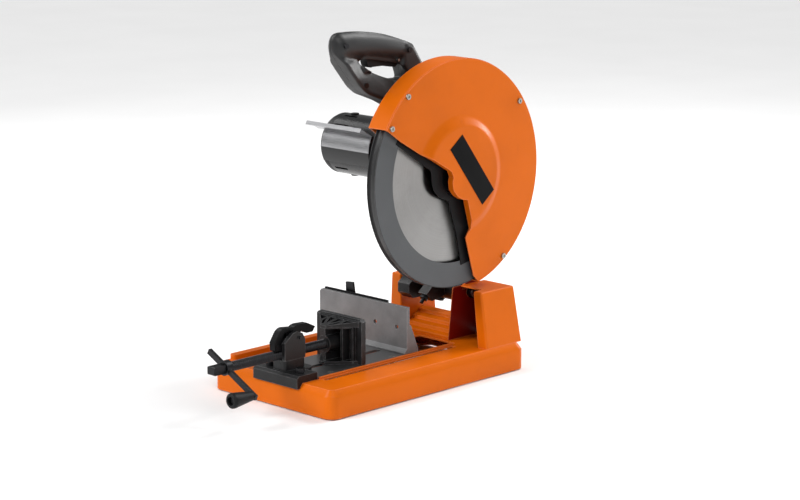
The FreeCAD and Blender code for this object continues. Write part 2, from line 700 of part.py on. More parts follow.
def make_blade():
    """Toothed steel disc with expansion slots."""
    tip, root = dim("blade_rad"), dim("blade_rad") - 6.5
    step = 360.0 / BLADE_TEETH
    points = []
    for index in range(BLADE_TEETH):
        start = -index * step
        points.append(polar(ARBOR, tip, start))
        points.append(polar(ARBOR, tip - 0.6, start - 0.35 * step))
        points.append(polar(ARBOR, root, start - 0.62 * step))
        points.append(polar(ARBOR, root - 0.5, start - 0.85 * step))
    left = dim("blade_x") - dim("blade_thick") / 2
    shape = prism_yz(points[::-1], left, dim("blade_thick"))
    shape = shape.cut(bore_x(ARBOR, dim("arbor_pilot"), left - 1, dim("blade_thick") + 2))
    for index in range(5):
        angle = 20 + 72 * index
        eye = polar(ARBOR, root - 24, angle)
        shape = shape.cut(bore_x(eye, 3.2, left - 1, dim("blade_thick") + 2))
    feature = doc.addObject("Part::Feature", "blade")
    feature.Shape = shape
    finish_part(feature, "blade")


# ------------------------------------------------------------------ upper guard

FRONT_EDGE = [(-91.8, 45.2), (-68.5, 34.2), (-28.2, 11), (-23.3, 0.5), (-25.7, -7.6), (-23.2, -21.2),
              (-13.5, -32.5), (-1.4, -39.1), (10.7, -41.6), (18.2, -67), (25.8, -93.5), (16.1, -107.3),
              (26.2, -141.1), (36.4, -175.2), (48.9, -187.2)]


def guard_outline(radius):
    """Side view of the upper guard: an arc over the top and a stepped lower edge."""
    first = math.degrees(math.atan2(94.8, -171.7))
    last = math.degrees(math.atan2(-187.2, 48.9))
    middle = (first + last) / 2
    start = (radius * math.cos(math.radians(first)), radius * math.sin(math.radians(first)))
    crest = (radius * math.cos(math.radians(middle)), radius * math.sin(math.radians(middle)))
    edge = [(-137.9, 71.7)] + FRONT_EDGE[:-1]
    end = (radius * math.cos(math.radians(last)), radius * math.sin(math.radians(last)))
    return from_arbor(edge + [end, start + crest])


COVER_SCREWS = [(-121.9, 142.6), (146.0, 109.0), (108.6, -151.5), (-158.7, 94.6)]


def make_upper_guard():
    """Left wall and rim of the blade housing, open toward the floor."""
    body = new_body("upper_guard_housing")
    outline = guard_outline(dim("guard_rad"))
    pad(body, "YZ_Plane", "Dims.guard_left", "Dims.guard_sheet", [("path", outline)])
    first = math.degrees(math.atan2(94.8, -171.7))
    last = math.degrees(math.atan2(-187.2, 48.9))
    rim = sector(ARBOR, dim("guard_rad") - dim("guard_sheet"), dim("guard_rad"), last, first)
    pad(body, "YZ_Plane", "Dims.guard_left", "Dims.guard_right - Dims.guard_sheet - Dims.guard_left",
        [("path", rim)])
    for offset_y, offset_z in COVER_SCREWS:
        reach = math.hypot(offset_y, offset_z)
        scale = 193.0 / reach
        pad(body, "YZ_Plane", 89.2, "Dims.guard_right - Dims.guard_sheet - 89.2",
            [("path", lug_path(offset_y, offset_z, scale))])
    bolt_holes = [("circle",) + polar(ARBOR, 35, angle) + (2.5,) for angle in GUARD_BOLTS]
    pocket(body, "YZ_Plane", "Dims.guard_left", "Dims.guard_sheet",
           [("circle", ARBOR[0], ARBOR[1], "Dims.hub_rad")] + bolt_holes)
    screw_holes = [("circle", ARBOR[0] + y, ARBOR[1] + z, 2.0) for y, z in COVER_SCREWS]
    pocket(body, "YZ_Plane", 89.2, "Dims.guard_right - 89.2", screw_holes)
    finish_part(body, "upper_guard_housing")


def lug_path(offset_y, offset_z, scale):
    """Small screw lug that grows inward from the rim."""
    centre = (ARBOR[0] + offset_y, ARBOR[1] + offset_z)
    outward = direction((0, 0), (offset_y, offset_z))
    left = polar(centre, 6, outward + 90)
    right = polar(centre, 6, outward - 90)
    inner = polar(centre, 6, outward + 180)
    reach = math.hypot(offset_y, offset_z) * (scale - 1)
    return [right, left + inner, polar(left, reach, outward), polar(right, reach, outward)]


def make_guard_cover():
    """Removable side plate with a raised round boss over the arbor."""
    outline = guard_outline(dim("guard_rad"))
    start = dim("guard_right") - dim("guard_sheet")
    prism = prism_yz_path(outline, start, 20)
    plate = bore_x(ARBOR, dim("guard_rad") - 0.8, start, dim("guard_sheet"))
    rise = dim("boss_rise")
    boss = Part.makeCone(dim("boss_rad"), dim("boss_top"), rise,
                         Vector(dim("guard_right"), ARBOR[0], ARBOR[1]), Vector(1, 0, 0))
    shape = plate.fuse(boss).common(prism)
    face = Part.Face(path_wire(outline, start - 1))
    inset = face.makeOffset2D(-2.5).extrude(Vector(20, 0, 0))
    hollow = Part.makeCone(dim("boss_rad") - 1, dim("boss_top") - 1, rise,
                           Vector(start, ARBOR[0], ARBOR[1]), Vector(1, 0, 0))
    shape = shape.cut(hollow.common(inset))
    for offset_y, offset_z in COVER_SCREWS:
        at = (ARBOR[0] + offset_y, ARBOR[1] + offset_z)
        shape = shape.cut(bore_x(at, 2.0, start - 1, 6))
    feature = doc.addObject("Part::Feature", "guard_cover")
    feature.Shape = shape.removeSplitter()
    finish_part(feature, "guard_cover")


def path_wire(points, x):
    """Closed wire in a plane of constant X; four-number points end an arc."""
    edges = []
    previous = Vector(x, points[-1][0], points[-1][1])
    for point in points:
        here = Vector(x, point[0], point[1])
        if len(point) == 4:
            edges.append(Part.Arc(previous, Vector(x, point[2], point[3]), here).toShape())
        else:
            edges.append(Part.makeLine(previous, here))
        previous = here
    return Part.Wire(edges)


def prism_yz_path(points, start, length):
    return Part.Face(path_wire(points, start)).extrude(Vector(length, 0, 0))


def make_cover_screws():
    screws = []
    for offset_y, offset_z in COVER_SCREWS:
        at = ("Dims.guard_right", ARBOR[0] + offset_y, ARBOR[1] + offset_z)
        head = rod("cover_head", 4.6, 3, at, ALONG_X)
        shank = rod("cover_shank", 1.9, 5, (90, at[1], at[2]), ALONG_X)
        slot = hexagon("cover_socket", 4, 1.6, (96.5, at[1], at[2]), ALONG_X)
        screws.append(cut("cover_screw", fuse("cover_screw_sum", head, shank), slot))
    return group("guard_cover_screws", screws)


LABEL_TURN = -52.5


def make_label_plate():
    """Blank plate lying on the boss of the cover."""
    body = new_body("label_plate")
    face = dim("guard_right") + dim("boss_rise")
    pad(body, "YZ_Plane", face, 0.8, [("path", turned_rectangle((21.2, 7.8), 64, 18, LABEL_TURN))])
    return finish_part(body, "label_plate")


def turned_rectangle(centre, half_u, half_v, degrees):
    """Rectangle about a point given from the arbor, turned in its plane."""
    cosine, sine = math.cos(math.radians(degrees)), math.sin(math.radians(degrees))
    corners = []
    for u, v in ((half_u, half_v), (-half_u, half_v), (-half_u, -half_v), (half_u, -half_v)):
        corners.append((centre[0] + u * cosine - v * sine, centre[1] + u * sine + v * cosine))
    return from_arbor(corners)


# ------------------------------------------------------------------ lower guard

LOWER_START, LOWER_END = 146.0, 291.0


def make_lower_guard():
    """Swinging guard: a back plate on a hub ring, a rim strip and a face ring, seam welded."""
    rad, sheet_thick = dim("lower_rad"), dim("lower_sheet")
    left, right = dim("lower_left"), dim("lower_right")
    back = new_body("guard_back")
    pad(back, "YZ_Plane", left, sheet_thick,
        [("path", sector(ARBOR, dim("hub_rad") + 4, rad, LOWER_START, LOWER_END))])
    pad(back, "YZ_Plane", 63, left + sheet_thick - 63, [("circle", ARBOR[0], ARBOR[1], 33)])
    pocket(back, "YZ_Plane", 62.5, 12, [("circle", ARBOR[0], ARBOR[1], "Dims.hub_rad + Dims.running")])
    strip = new_body("guard_strip")
    pad(strip, "YZ_Plane", left + sheet_thick, right - left - 2 * sheet_thick,
        [("path", sector(ARBOR, rad - sheet_thick, rad, LOWER_START, LOWER_END))])
    face = new_body("guard_face")
    pad(face, "YZ_Plane", right - sheet_thick, sheet_thick,
        [("path", sector(ARBOR, 147, rad, LOWER_START, LOWER_END))])
    group("lower_guard_band", [back, strip, face])

    plate = new_body("lower_guard_hub")
    window = [(-82.5, 28.2), (-61, 14.6), (-58.6, 6.9), (-57.7, -7.9), (-51.8, -21.9), (-39.8, -33.5),
              (-18.3, -41.7), (-10.9, -64.2), (1.4, -99.7)]
    inner_rad = 156.0
    low_end = polar((0, 0), inner_rad, LOWER_END)
    high_end = polar((0, 0), inner_rad, LOWER_START)
    outline = [(-140.0, 66.5)] + window
    outline += [(13.0, -154.0), low_end, (52, -60), (46, 20), (10, 50), (-40, 54), high_end]
    pad(plate, "YZ_Plane", right, sheet_thick, [("path", from_arbor(outline))])
    pocket(plate, "YZ_Plane", right, sheet_thick, [("circle", ARBOR[0], ARBOR[1], 34)])
    finish_part(plate, "lower_guard_hub")


# ------------------------------------------------------------------ motor

VENTS = 12


def make_motor():
    """Brush motor whose shaft is parallel to the arbor."""
    left, small, big = dim("motor_left"), dim("motor_small"), dim("motor_big")
    profile = [(left, small), (-60, small), (-24, big), (0, big), (0, 14), (-9, 14), (-9, 30),
               (-14, big - 5), (-24, big - 4), (-60, small - 3.5), (left, small - 3.5)]
    housing = turned("motor_housing_shell", profile, "Dims.motor_y", "Dims.motor_z")
    slots = []
    for index in range(VENTS):
        y, z = polar(MOTOR, small, 360.0 * index / VENTS + 15)
        turn = Rotation(Vector(1, 0, 0), 360.0 * index / VENTS + 15)
        slots.append(vent_slot("motor_vent", 30, 5, (left + 8, y, z), turn))
    holes = [rod("brush_hole", 7, 140, (-146, dim("motor_y"), dim("motor_z") - 70)), *slots]
    finish_part(cut("motor_housing_cut", housing, *holes), "motor_housing")

    cap_profile = [(left, small), (left - 9, small), (left - 14.5, small - 2.5), (left - 17.5, small - 8),
                   (left - 18, small - 14), (left - 18, 0), (left - 14.5, 0), (left - 14.5, small - 14),
                   (left - 8, small - 4), (left, small - 3.5)]
    cap = turned("motor_cap_shell", cap_profile, "Dims.motor_y", "Dims.motor_z")
    seat = [(left - 15, 11), (left - 15, 14.5), (left - 4, 14.5), (left - 4, 11)]
    cup = turned("motor_cap_seat", seat, "Dims.motor_y", "Dims.motor_z")
    slits = []
    for rise in (-38, -20, 16, 34):
        at = (left - 22, dim("motor_y") - 22, dim("motor_z") + rise)
        slits.append(box("cap_slit", (8, 44, 4), at))
    cap_sum = fuse("motor_cap_sum", cap, cup)
    finish_part(cut("motor_cap_cut", cap_sum, *slits), "motor_end_cap")

    stator = [(-122, 29), (-122, small - 3.5), (-68, small - 3.5), (-68, 29)]
    finish_part(turned("stator_core", stator, "Dims.motor_y", "Dims.motor_z"), "stator_core")
    rotor = [(left - 12, 0), (left - 12, 4), (-150, 4), (-150, 12), (-134, 12), (-134, 8), (-124, 8),
             (-124, 26), (-66, 26), (-66, 6), (-10, 6), (-10, 5), (4, 5), (4, 2.5), (17, 2.5), (17, 0)]
    core = turned("rotor", rotor, "Dims.motor_y", "Dims.motor_z")
    finish_part(fuse("rotor_sum", core, motor_pinion()), "armature")
    fan = [(-46, 6), (-46, 12), (-30, 12), (-30, 6)]
    hub = turned("fan_hub", fan, "Dims.motor_y", "Dims.motor_z")
    disc = rod("fan_disc", 42, 2, (-32, "Dims.motor_y", "Dims.motor_z"), ALONG_X)
    bore = rod("fan_bore", 6, 30, (-50, "Dims.motor_y", "Dims.motor_z"), ALONG_X)
    blades = []
    for index in range(11):
        turn = Rotation(Vector(1, 0, 0), 360.0 * index / 11)
        y, z = polar(MOTOR, 10, 360.0 * index / 11)
        blades.append(box_turned("fan_blade", (14, 31, 1.6), (-46, y, z), turn))
    finish_part(cut("fan_cut", fuse("fan_sum", hub, disc, *blades), bore), "cooling_fan")


def box_turned(name, size, at, turn):
    feature = box(name, size, at)
    feature.Placement = Placement(feature.Placement.Base, turn)
    return put(feature, at, turn)


def vent_slot(name, length, width, at, turn):
    """Cutter for one vent, centred across its own width."""
    half = turn.multVec(Vector(0, 8, width / 2))
    return box_turned(name, (length, 16, width), (at[0], at[1] - half.y, at[2] - half.z), turn)


def make_brushes():
    brushes, caps = [], []
    for side in (-1, 1):
        low = dim("motor_z") + 12.3 if side > 0 else dim("motor_z") - 12.3 - 26
        brushes.append(box("brush_block", (8, 6, 26), (-150, dim("motor_y") - 3, low)))
        start = dim("motor_z") + side * 42 - (0 if side > 0 else 12)
        caps.append(rod("brush_cap_disc", 7, 12, (-146, dim("motor_y"), start)))
    group("carbon_brushes", brushes)
    group("brush_caps", caps)


def ring_x(name, inner, outer, width, start, centre):
    """Plain ring about an axis parallel to X."""
    outside = rod(name + "_out", outer, width, (start,) + centre, ALONG_X)
    inside = rod(name + "_in", inner, width, (start,) + centre, ALONG_X)
    return cut(name, outside, inside)


def make_bearings():
    run = dim("running")
    motor, arbor = ("Dims.motor_y", "Dims.motor_z"), ("Dims.arbor_y", "Dims.arbor_z")
    group("bearings", [ring_x("rear_bearing", 4 + run, 11, 8, -176, motor),
                       ring_x("front_bearing", 5 + run, 14, 8, -9, motor),
                       ring_x("spindle_bearing", 9 + run, 20, 14, 47, arbor)])


def make_chip_shield():
    """Sheet curved round the front of the motor, with a hemmed flange along its top."""
    body = new_body("motor_chip_shield")
    inside, thick = dim("motor_small") + 1.9, 1.5
    pad(body, "YZ_Plane", -172, 114, [("path", sector(MOTOR, inside, inside + thick, 148, 206))])
    flange = [(60.5, 394.8), (35, 409.5), (32, 404.5)]
    pad(body, "YZ_Plane", -190, 132, [("path", bent_strip(flange, thick))])
    for x in (-140, -80):
        pad(body, "XZ_Plane", -54, 2.5, [("circle", x, dim("motor_z"), 5)])
    return finish_part(body, "motor_chip_shield")


# ------------------------------------------------------------------ handle

def handle_outline():
    return [(-98, 553), (-101, 561), (-101, 574), (-92, 585, -99, 582), (-70, 585.5), (-3, 579), (20, 574),
            (55, 563), (73.5, 556), (92, 538), (101, 516), (112, 480), (112, 432.2), (60, 432.2), (40, 452),
            (11, 467), (-21, 479), (-33, 483), (-48, 494), (-71, 521), (-88, 543)]


HANDLE_WINDOW = [(-47, 537), (-38, 541), (43, 534), (52, 518), (57, 500), (31.5, 501), (8.5, 507.6),
                 (-17, 517), (-34, 526)]
TRIGGER_ROOM = [(-36, 535), (-36, 560), (-24, 572), (26, 572), (34, 560), (48, 545), (48, 520), (20, 520)]
HANDLE_SCREWS = [(-84, 566), (60, 548), (96, 505), (88, 450), (-40, 499)]
TRIGGER_PIVOT = (38.0, 533.0)


def make_handle():
    """D handle in two halves that clamp the switch and the trigger."""
    half = dim("handle_half")
    centre = dim("handle_x")
    halves = (("handle_left", centre - half, centre - 8.5), ("handle_right", centre, centre))
    for label, start, room_start in halves:
        body = new_body(label)
        pad(body, "YZ_Plane", start, half, [("path", handle_outline())])
        pocket(body, "YZ_Plane", start - 1, half + 2, [("path", HANDLE_WINDOW)])
        pocket(body, "YZ_Plane", room_start, 8.5, [("path", TRIGGER_ROOM)])
        holes = [("circle", y, z, 2.2) for y, z in HANDLE_SCREWS + [TRIGGER_PIVOT]]
        pocket(body, "YZ_Plane", start - 1, half + 2, holes)
        finish_part(body, label)
    screws = []
    for y, z in HANDLE_SCREWS:
        head = rod("handle_head", 4.5, 2.5, (centre + half, y, z), ALONG_X)
        shank = rod("handle_shank", 2.2, 2 * half - 3, (centre - half + 3, y, z), ALONG_X)
        screws.append(fuse("handle_screw", head, shank))
    group("handle_screws", screws)
    body = new_body("trigger")
    lever = [(-30, 540), (-27, 530), (-17, 526, -23, 526), (5, 526), (34, 521.5), (44, 527),
             (43, 538, 45, 533), (30, 543), (-20, 548)]
    pad(body, "YZ_Plane", centre - 7.8, 15.6, [("path", lever)])
    pocket(body, "YZ_Plane", centre - 9, 18, [("circle", TRIGGER_PIVOT[0], TRIGGER_PIVOT[1], 2.26)])
    finish_part(body, "trigger")
    pin = rod("trigger_pin_core", 2.2, 2 * half - 4, (centre - half + 2,) + TRIGGER_PIVOT, ALONG_X)
    finish_part(pin, "trigger_pin")
    body = new_body("trigger_switch")
    pad(body, "YZ_Plane", centre - 8, 16, [("path", [(-20, 558), (-20, 571), (24, 571), (24, 558)])])
    finish_part(body, "trigger_switch")
    gland = [(0, 5), (0, 11), (6, 11), (10, 8), (24, 6.5), (24, 5)]
    finish_part(turned("cord_gland", gland, 112, 455, Rotation(Vector(0, 0, 1), 90), centre), "cord_gland")


# ------------------------------------------------------------------ fence

def make_fence():
    """Grey cast fence with a ribbed back, clamped behind the work."""
    body = new_body("fence")
    low, top, face = dim("fence_low"), dim("fence_top"), dim("fence_y")
    thick, left = dim("fence_thick"), dim("fence_left")
    section = [(face - 6, low), (face - 6, low + 2), (face, low + 8), (face, top), (face + thick, top),
               (face + thick, low + thick), (face + 26, low + thick), (face + 26, low)]
    pad(body, "YZ_Plane", left, "Dims.fence_right - Dims.fence_left", [("path", section)])
    rib = [(face + 4, low + 4), (face + 4, 98), (face + 9, 98), (face + 25, low + 8), (face + 25, low + 4)]
    for start in (left, -90, -42, 8, dim("fence_right") - 7):
        pad(body, "YZ_Plane", start, 7, [("path", rib)])
    clear = [(left - 1, 50), (-110, 50), (-110, 57.5), (left - 1, 57.5)]
    pocket(body, "XZ_Plane", -60, 60, [("path", clear)])
    pocket(body, "XZ_Plane", -60, 60, [("circle", -9.4, 93, 4), ("circle", 41, 92.4, 4)])
    pocket(body, "XY_Plane", low, 10, [("circle", x, y, "Dims.fence_shank") for x, y in FENCE_BOLTS])
    bolts = []
    for x, y in FENCE_BOLTS:
        shank = rod("fence_bolt_shank", "Dims.fence_shank", 20, (x, y, low + thick - 20))
        head = hexagon("fence_bolt_head", 13, 6, (x, y, low + thick))
        bolts.append(fuse("fence_bolt", shank, head))
    group("fence_bolts", bolts)
    corner = [(left - 1, top - 5), (left - 1, top + 1), (left + 5, top + 1)]
    pocket(body, "XZ_Plane", -60, 60, [("path", corner)])
    finish_part(body, "fence")
    strip = box("fence_strip_core", (150, 4, 29), (left + 6, face + thick, top - 26))
    finish_part(strip, "fence_backing_strip")


LEVER_PIVOT = (36.0, 118.0)


def make_fence_lever():
    """Tapered clamp lever on a cross pin behind the backing strip."""
    body = new_body("fence_clamp_lever")
    blade = [(-96, 112), (-97, 145), (-80, 146.5), (-74, 112)]
    pad(body, "XZ_Plane", -38, 4, [("path", blade)])
    pad(body, "YZ_Plane", -96, 22, [("circle", LEVER_PIVOT[0], LEVER_PIVOT[1], 5)])
    pocket(body, "YZ_Plane", -98, 26, [("circle", LEVER_PIVOT[0], LEVER_PIVOT[1], 2.56)])
    finish_part(body, "fence_clamp_lever")
    pin = rod("lever_pin_core", 2.5, 32, (-101,) + LEVER_PIVOT, ALONG_X)
    behind = dim("fence_y") + dim("fence_thick") + 4
    cheeks = [box("lever_cheek", (3.5, 18, 10), (x, behind, 113)) for x in (-100.5, -73)]
    finish_part(fuse("lever_bracket_sum", pin, *cheeks), "fence_lever_bracket")


# ------------------------------------------------------------------ vise

SCREW = (dim("screw_x"), dim("screw_z"))
LEVER_HINGE = (-190.0, 109.0)


def make_vise_base():
    """Foot bolted over the front edge of the tray, and two cheeks between which the screw runs."""
    body = new_body("vise_foot")
    left, right = SCREW[0] - 51, SCREW[0] + 52.5
    foot = [(-187, 47), (-219.5, 47), (-225.9, 38.5), (-231, 38.5), (-231, 55), (-227, 59), (-187, 59)]
    pad(body, "YZ_Plane", left, right - left, [("path", foot)])
    pad(body, "XY_Plane", 51, 8, [("path", rounded_rectangle(22, 20, 12, SCREW[0], -184))])
    half, gap = dim("post_half"), dim("screw_rad") + 0.4
    floor = SCREW[1] - gap
    pad(body, "XY_Plane", 57, floor - 57, [("path", rounded_rectangle(half, 22, 5, SCREW[0], -200))])
    pocket(body, "XY_Plane", 40, 20, [("circle", x, y, "Dims.vise_shank") for x, y in VISE_BOLTS])
    solids = [body]
    side = [(-222, floor), (-222, 105), (-205, 118), (-196, 120.5), (-184, 116), (-178, 106), (-178, floor)]
    for start in (SCREW[0] - half, SCREW[0] + gap):
        cheek = new_body("vise_cheek")
        pad(cheek, "YZ_Plane", start, half - gap, [("path", side)])
        pocket(cheek, "YZ_Plane", start, half - gap, [("circle", LEVER_HINGE[0], LEVER_HINGE[1], 3)])
        solids.append(cheek)
    return group("vise_base", solids)


def make_vise_bolts():
    bolts = []
    for x, y in VISE_BOLTS:
        shank = rod("vise_bolt_shank", "Dims.vise_shank", 18, (x, y, 41))
        washer = rod("vise_bolt_washer", 8, 1.6, (x, y, 59))
        head = hexagon("vise_bolt_head", 13, 6, (x, y, 60.6))
        bolts.append(fuse("vise_bolt", shank, washer, head))
    return group("vise_base_bolts", bolts)


def make_half_nut():
    """Quick-release lever whose front end drops a half nut onto the screw."""
    body = new_body("half_nut_lever")
    nut_low = SCREW[1] + dim("screw_rad") + 0.4
    lever = [(-235, nut_low), (-236, 106), (-227, 119.5), (-210, 126.8, -219, 126), (-195, 125),
             (-182, 128.3, -189, 127.6), (-164, 127.3), (-147, 119), (-153, 111), (-166, 111), (-178, 117),
             (-183, 102), (-197, 102), (-200, 113), (-207, 119.5, -202, 119), (-217, 114, -213, 119),
             (-221, 104), (-221, nut_low)]
    pad(body, "YZ_Plane", SCREW[0] - 6, 12, [("path", lever)])
    pocket(body, "YZ_Plane", SCREW[0] - 6, 12, [("circle", LEVER_HINGE[0], LEVER_HINGE[1], 3.06)])
    nut = [(-233, nut_low), (-233, 101), (-214.5, 101), (-214.5, nut_low)]
    pad(body, "YZ_Plane", SCREW[0] - 7.5, 15, [("path", nut)])
    finish_part(body, "half_nut_lever")
    finish_part(rod("half_nut_pin_core", 3, 37, (SCREW[0] - 18.5,) + LEVER_HINGE, ALONG_X), "half_nut_pin")


CRANK_TURN = -27.2
CRANK_REACH = 71.0


def make_screw_parts():
    x, z = SCREW
    long_rod = rod("screw_core", "Dims.screw_rad", 227, (x, -327, z), ALONG_Y)
    neck = rod("screw_neck", 6.5, 13, (x, -340, z), ALONG_Y)
    stub = box("screw_stub", (16.4, 25, 13.2), (x - 8.2, -364, z - 6.6))
    group("vise_screw", [long_rod, fuse("screw_end", neck, stub)])
    bar = new_body("crank_bar")
    points = []
    for along, across in ((CRANK_REACH + 7, 4.5), (-44, 4.5), (-44, -4.5), (CRANK_REACH + 7, -4.5)):
        angle = math.radians(CRANK_TURN)
        points.append((x + along * math.cos(angle) - across * math.sin(angle),
                       z + along * math.sin(angle) + across * math.cos(angle)))
    pad(bar, "XZ_Plane", 330, 6, [("path", points)])
    pad(bar, "XZ_Plane", 327, 12, [("circle", x, z, 12)])
    pocket(bar, "XZ_Plane", 326, 14, [("circle", x, z, 6.5)])
    knob_x, knob_z = polar((x, z), CRANK_REACH, CRANK_TURN)
    pocket(bar, "XZ_Plane", 329, 8, [("circle", knob_x, knob_z, 3)])
    finish_part(bar, "crank_bar")
    shaft = rod("knob_pin_shank", 3, 42, (knob_x, -372, knob_z), ALONG_Y)
    head = rod("knob_pin_head", 5.5, 3, (knob_x, -375, knob_z), ALONG_Y)
    finish_part(fuse("knob_pin_sum", shaft, head), "crank_knob_pin")
    profile = [(0, 3.06), (0, 7.5), (8, 8.5), (26, 11), (38, 12.5), (41, 12), (43, 10), (43, 7), (34, 7),
               (34, 3.06)]
    knob = turned("crank_knob", profile, -337, knob_z, Rotation(Vector(0, 0, 1), -90), knob_x)
    finish_part(knob, "crank_knob")


def make_jaw():
    """Wedge-shaped sliding jaw with a ribbed body and a guide key below."""
    body = new_body("movable_jaw")
    x = SCREW[0]
    half, face, low, top = dim("jaw_half"), dim("jaw_face"), dim("jaw_low"), dim("jaw_top")
    back = face - dim("jaw_plate")
    pad(body, "XZ_Plane", -face, "Dims.jaw_plate",
        [("path", [(x - half, low), (x - half, top - 4), (x - half + 4, top), (x + half - 4, top),
                   (x + half, top - 4), (x + half, low)])])
    for base, thick in ((low, 5), (110, 4)):
        wing = 44 if base < 100 else 40
        flange = [(x - wing, back + 1), (x + wing, back + 1), (x + 6, back - wing + 4),
                  (x - 6, back - wing + 4)]
        pad(body, "XY_Plane", base, thick, [("path", flange)])
    for offset, reach in ((-36, 6), (-22, 16), (22, 16), (36, 6), (0, 34)):
        rib = [(back + 1, low), (back - reach, low), (back - reach, 112), (back + 1, 113)]
        pad(body, "YZ_Plane", x + offset - 2.5, 5, [("path", rib)])
    cap = [(x - 46, back + 1), (x + 46, back + 1), (x + 7, back - 36), (x - 7, back - 36)]
    pad(body, "XY_Plane", 113, 10, [("path", cap)])
    slope = [(back - 40, 114.5), (back - 40, 126), (back + 0.5, 126), (back + 0.5, 122.5)]
    pocket(body, "YZ_Plane", x - 50, 100, [("path", slope)])
    hollows = []
    for side in (-1, 1):
        for outline in ([(3, -4), (3, -27), (16, -4)], [(5, -31), (9, -31), (18, -21), (19.5, -7)],
                        [(22, -4), (40, -4), (23, -18)]):
            hollows.append(("path", [(x + side * u, back + v) for u, v in outline]))
    pocket(body, "XY_Plane", 113.5, 12, hollows)
    pad(body, "XZ_Plane", -back - 1, 35, [("circle", x, dim("screw_z"), 14)])
    pad(body, "XY_Plane", 45, low - 45 + 1, [("path", rounded_rectangle(5.2, 15, 5, x, -108))])
    pocket(body, "XZ_Plane", 99.5, 30, [("circle", x, dim("screw_z"), 8.06)])
    pocket(body, "XY_Plane", 40, 14, [("circle", x, -108, 2.5)])
    finish_part(body, "movable_jaw")
    plate = box("keeper_plate_core", (30, 26, 2.5), (x - 15, -121, 41.2))
    screw = rod("keeper_screw_core", 2.5, 12.5, (x, -108, 41.2))
    head = rod("keeper_head_core", 5, 2.5, (x, -108, 38.7))
    spacer = rod("keeper_spacer_core", 5, 1.3, (x, -108, 43.7))
    finish_part(fuse("keeper_sum", plate, screw, head, spacer), "jaw_keeper")


# ------------------------------------------------------------------ check and export

def check_and_export():
    doc.recompute()
    for item in doc.Objects:
        if "Invalid" in item.State or "Error" in item.State:
            raise RuntimeError("failed object: %s %s" % (item.Label, item.State))
    os.makedirs("parts", exist_ok=True)
    bad = [part.Label for part in PARTS
           if part.Shape.isNull() or not part.Shape.isValid() or not part.Shape.Solids]
    if bad:
        raise RuntimeError("bad shapes: " + ", ".join(bad))
    for part in PARTS:
        part.Shape.exportStep("parts/%s.step" % part.Label)


make_base_tray()
make_rubber_feet()
make_bed_plate()
make_bed_screws()
make_right_pedestal()
make_left_pedestal()
make_rear_crossbeam()
make_hinge_parts()
make_torsion_spring()
make_arm_casting()
make_depth_stop()
make_gear_case()
make_gear_case_cover()
make_gear_case_screws()
make_gears()
make_spindle_parts()
make_blade()
make_upper_guard()
make_guard_cover()
make_cover_screws()
make_label_plate()
make_lower_guard()
make_motor()
make_brushes()
make_bearings()
make_chip_shield()
make_handle()
make_fence()
make_fence_lever()
make_vise_base()
make_vise_bolts()
make_half_nut()
make_screw_parts()
make_jaw()
check_and_export()
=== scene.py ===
import math

import bmesh
import bpy
import numpy as np
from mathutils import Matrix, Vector
from mathutils.geometry import tessellate_polygon


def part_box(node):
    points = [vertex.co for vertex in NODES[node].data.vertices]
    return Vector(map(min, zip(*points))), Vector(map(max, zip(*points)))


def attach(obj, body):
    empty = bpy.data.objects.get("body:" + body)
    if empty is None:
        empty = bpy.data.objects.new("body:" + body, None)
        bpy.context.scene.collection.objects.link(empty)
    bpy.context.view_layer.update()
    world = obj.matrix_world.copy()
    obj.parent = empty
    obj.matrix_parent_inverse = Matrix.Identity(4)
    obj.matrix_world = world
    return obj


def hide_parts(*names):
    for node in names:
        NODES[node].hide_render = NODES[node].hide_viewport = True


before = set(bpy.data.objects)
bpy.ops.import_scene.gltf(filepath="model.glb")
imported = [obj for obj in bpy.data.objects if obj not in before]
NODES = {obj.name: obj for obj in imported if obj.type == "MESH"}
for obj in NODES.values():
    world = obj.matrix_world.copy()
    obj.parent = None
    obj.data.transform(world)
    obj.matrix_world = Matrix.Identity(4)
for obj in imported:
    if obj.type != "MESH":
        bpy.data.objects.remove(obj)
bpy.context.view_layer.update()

MM = 0.001

# ---------------------------------------------------------------- materials


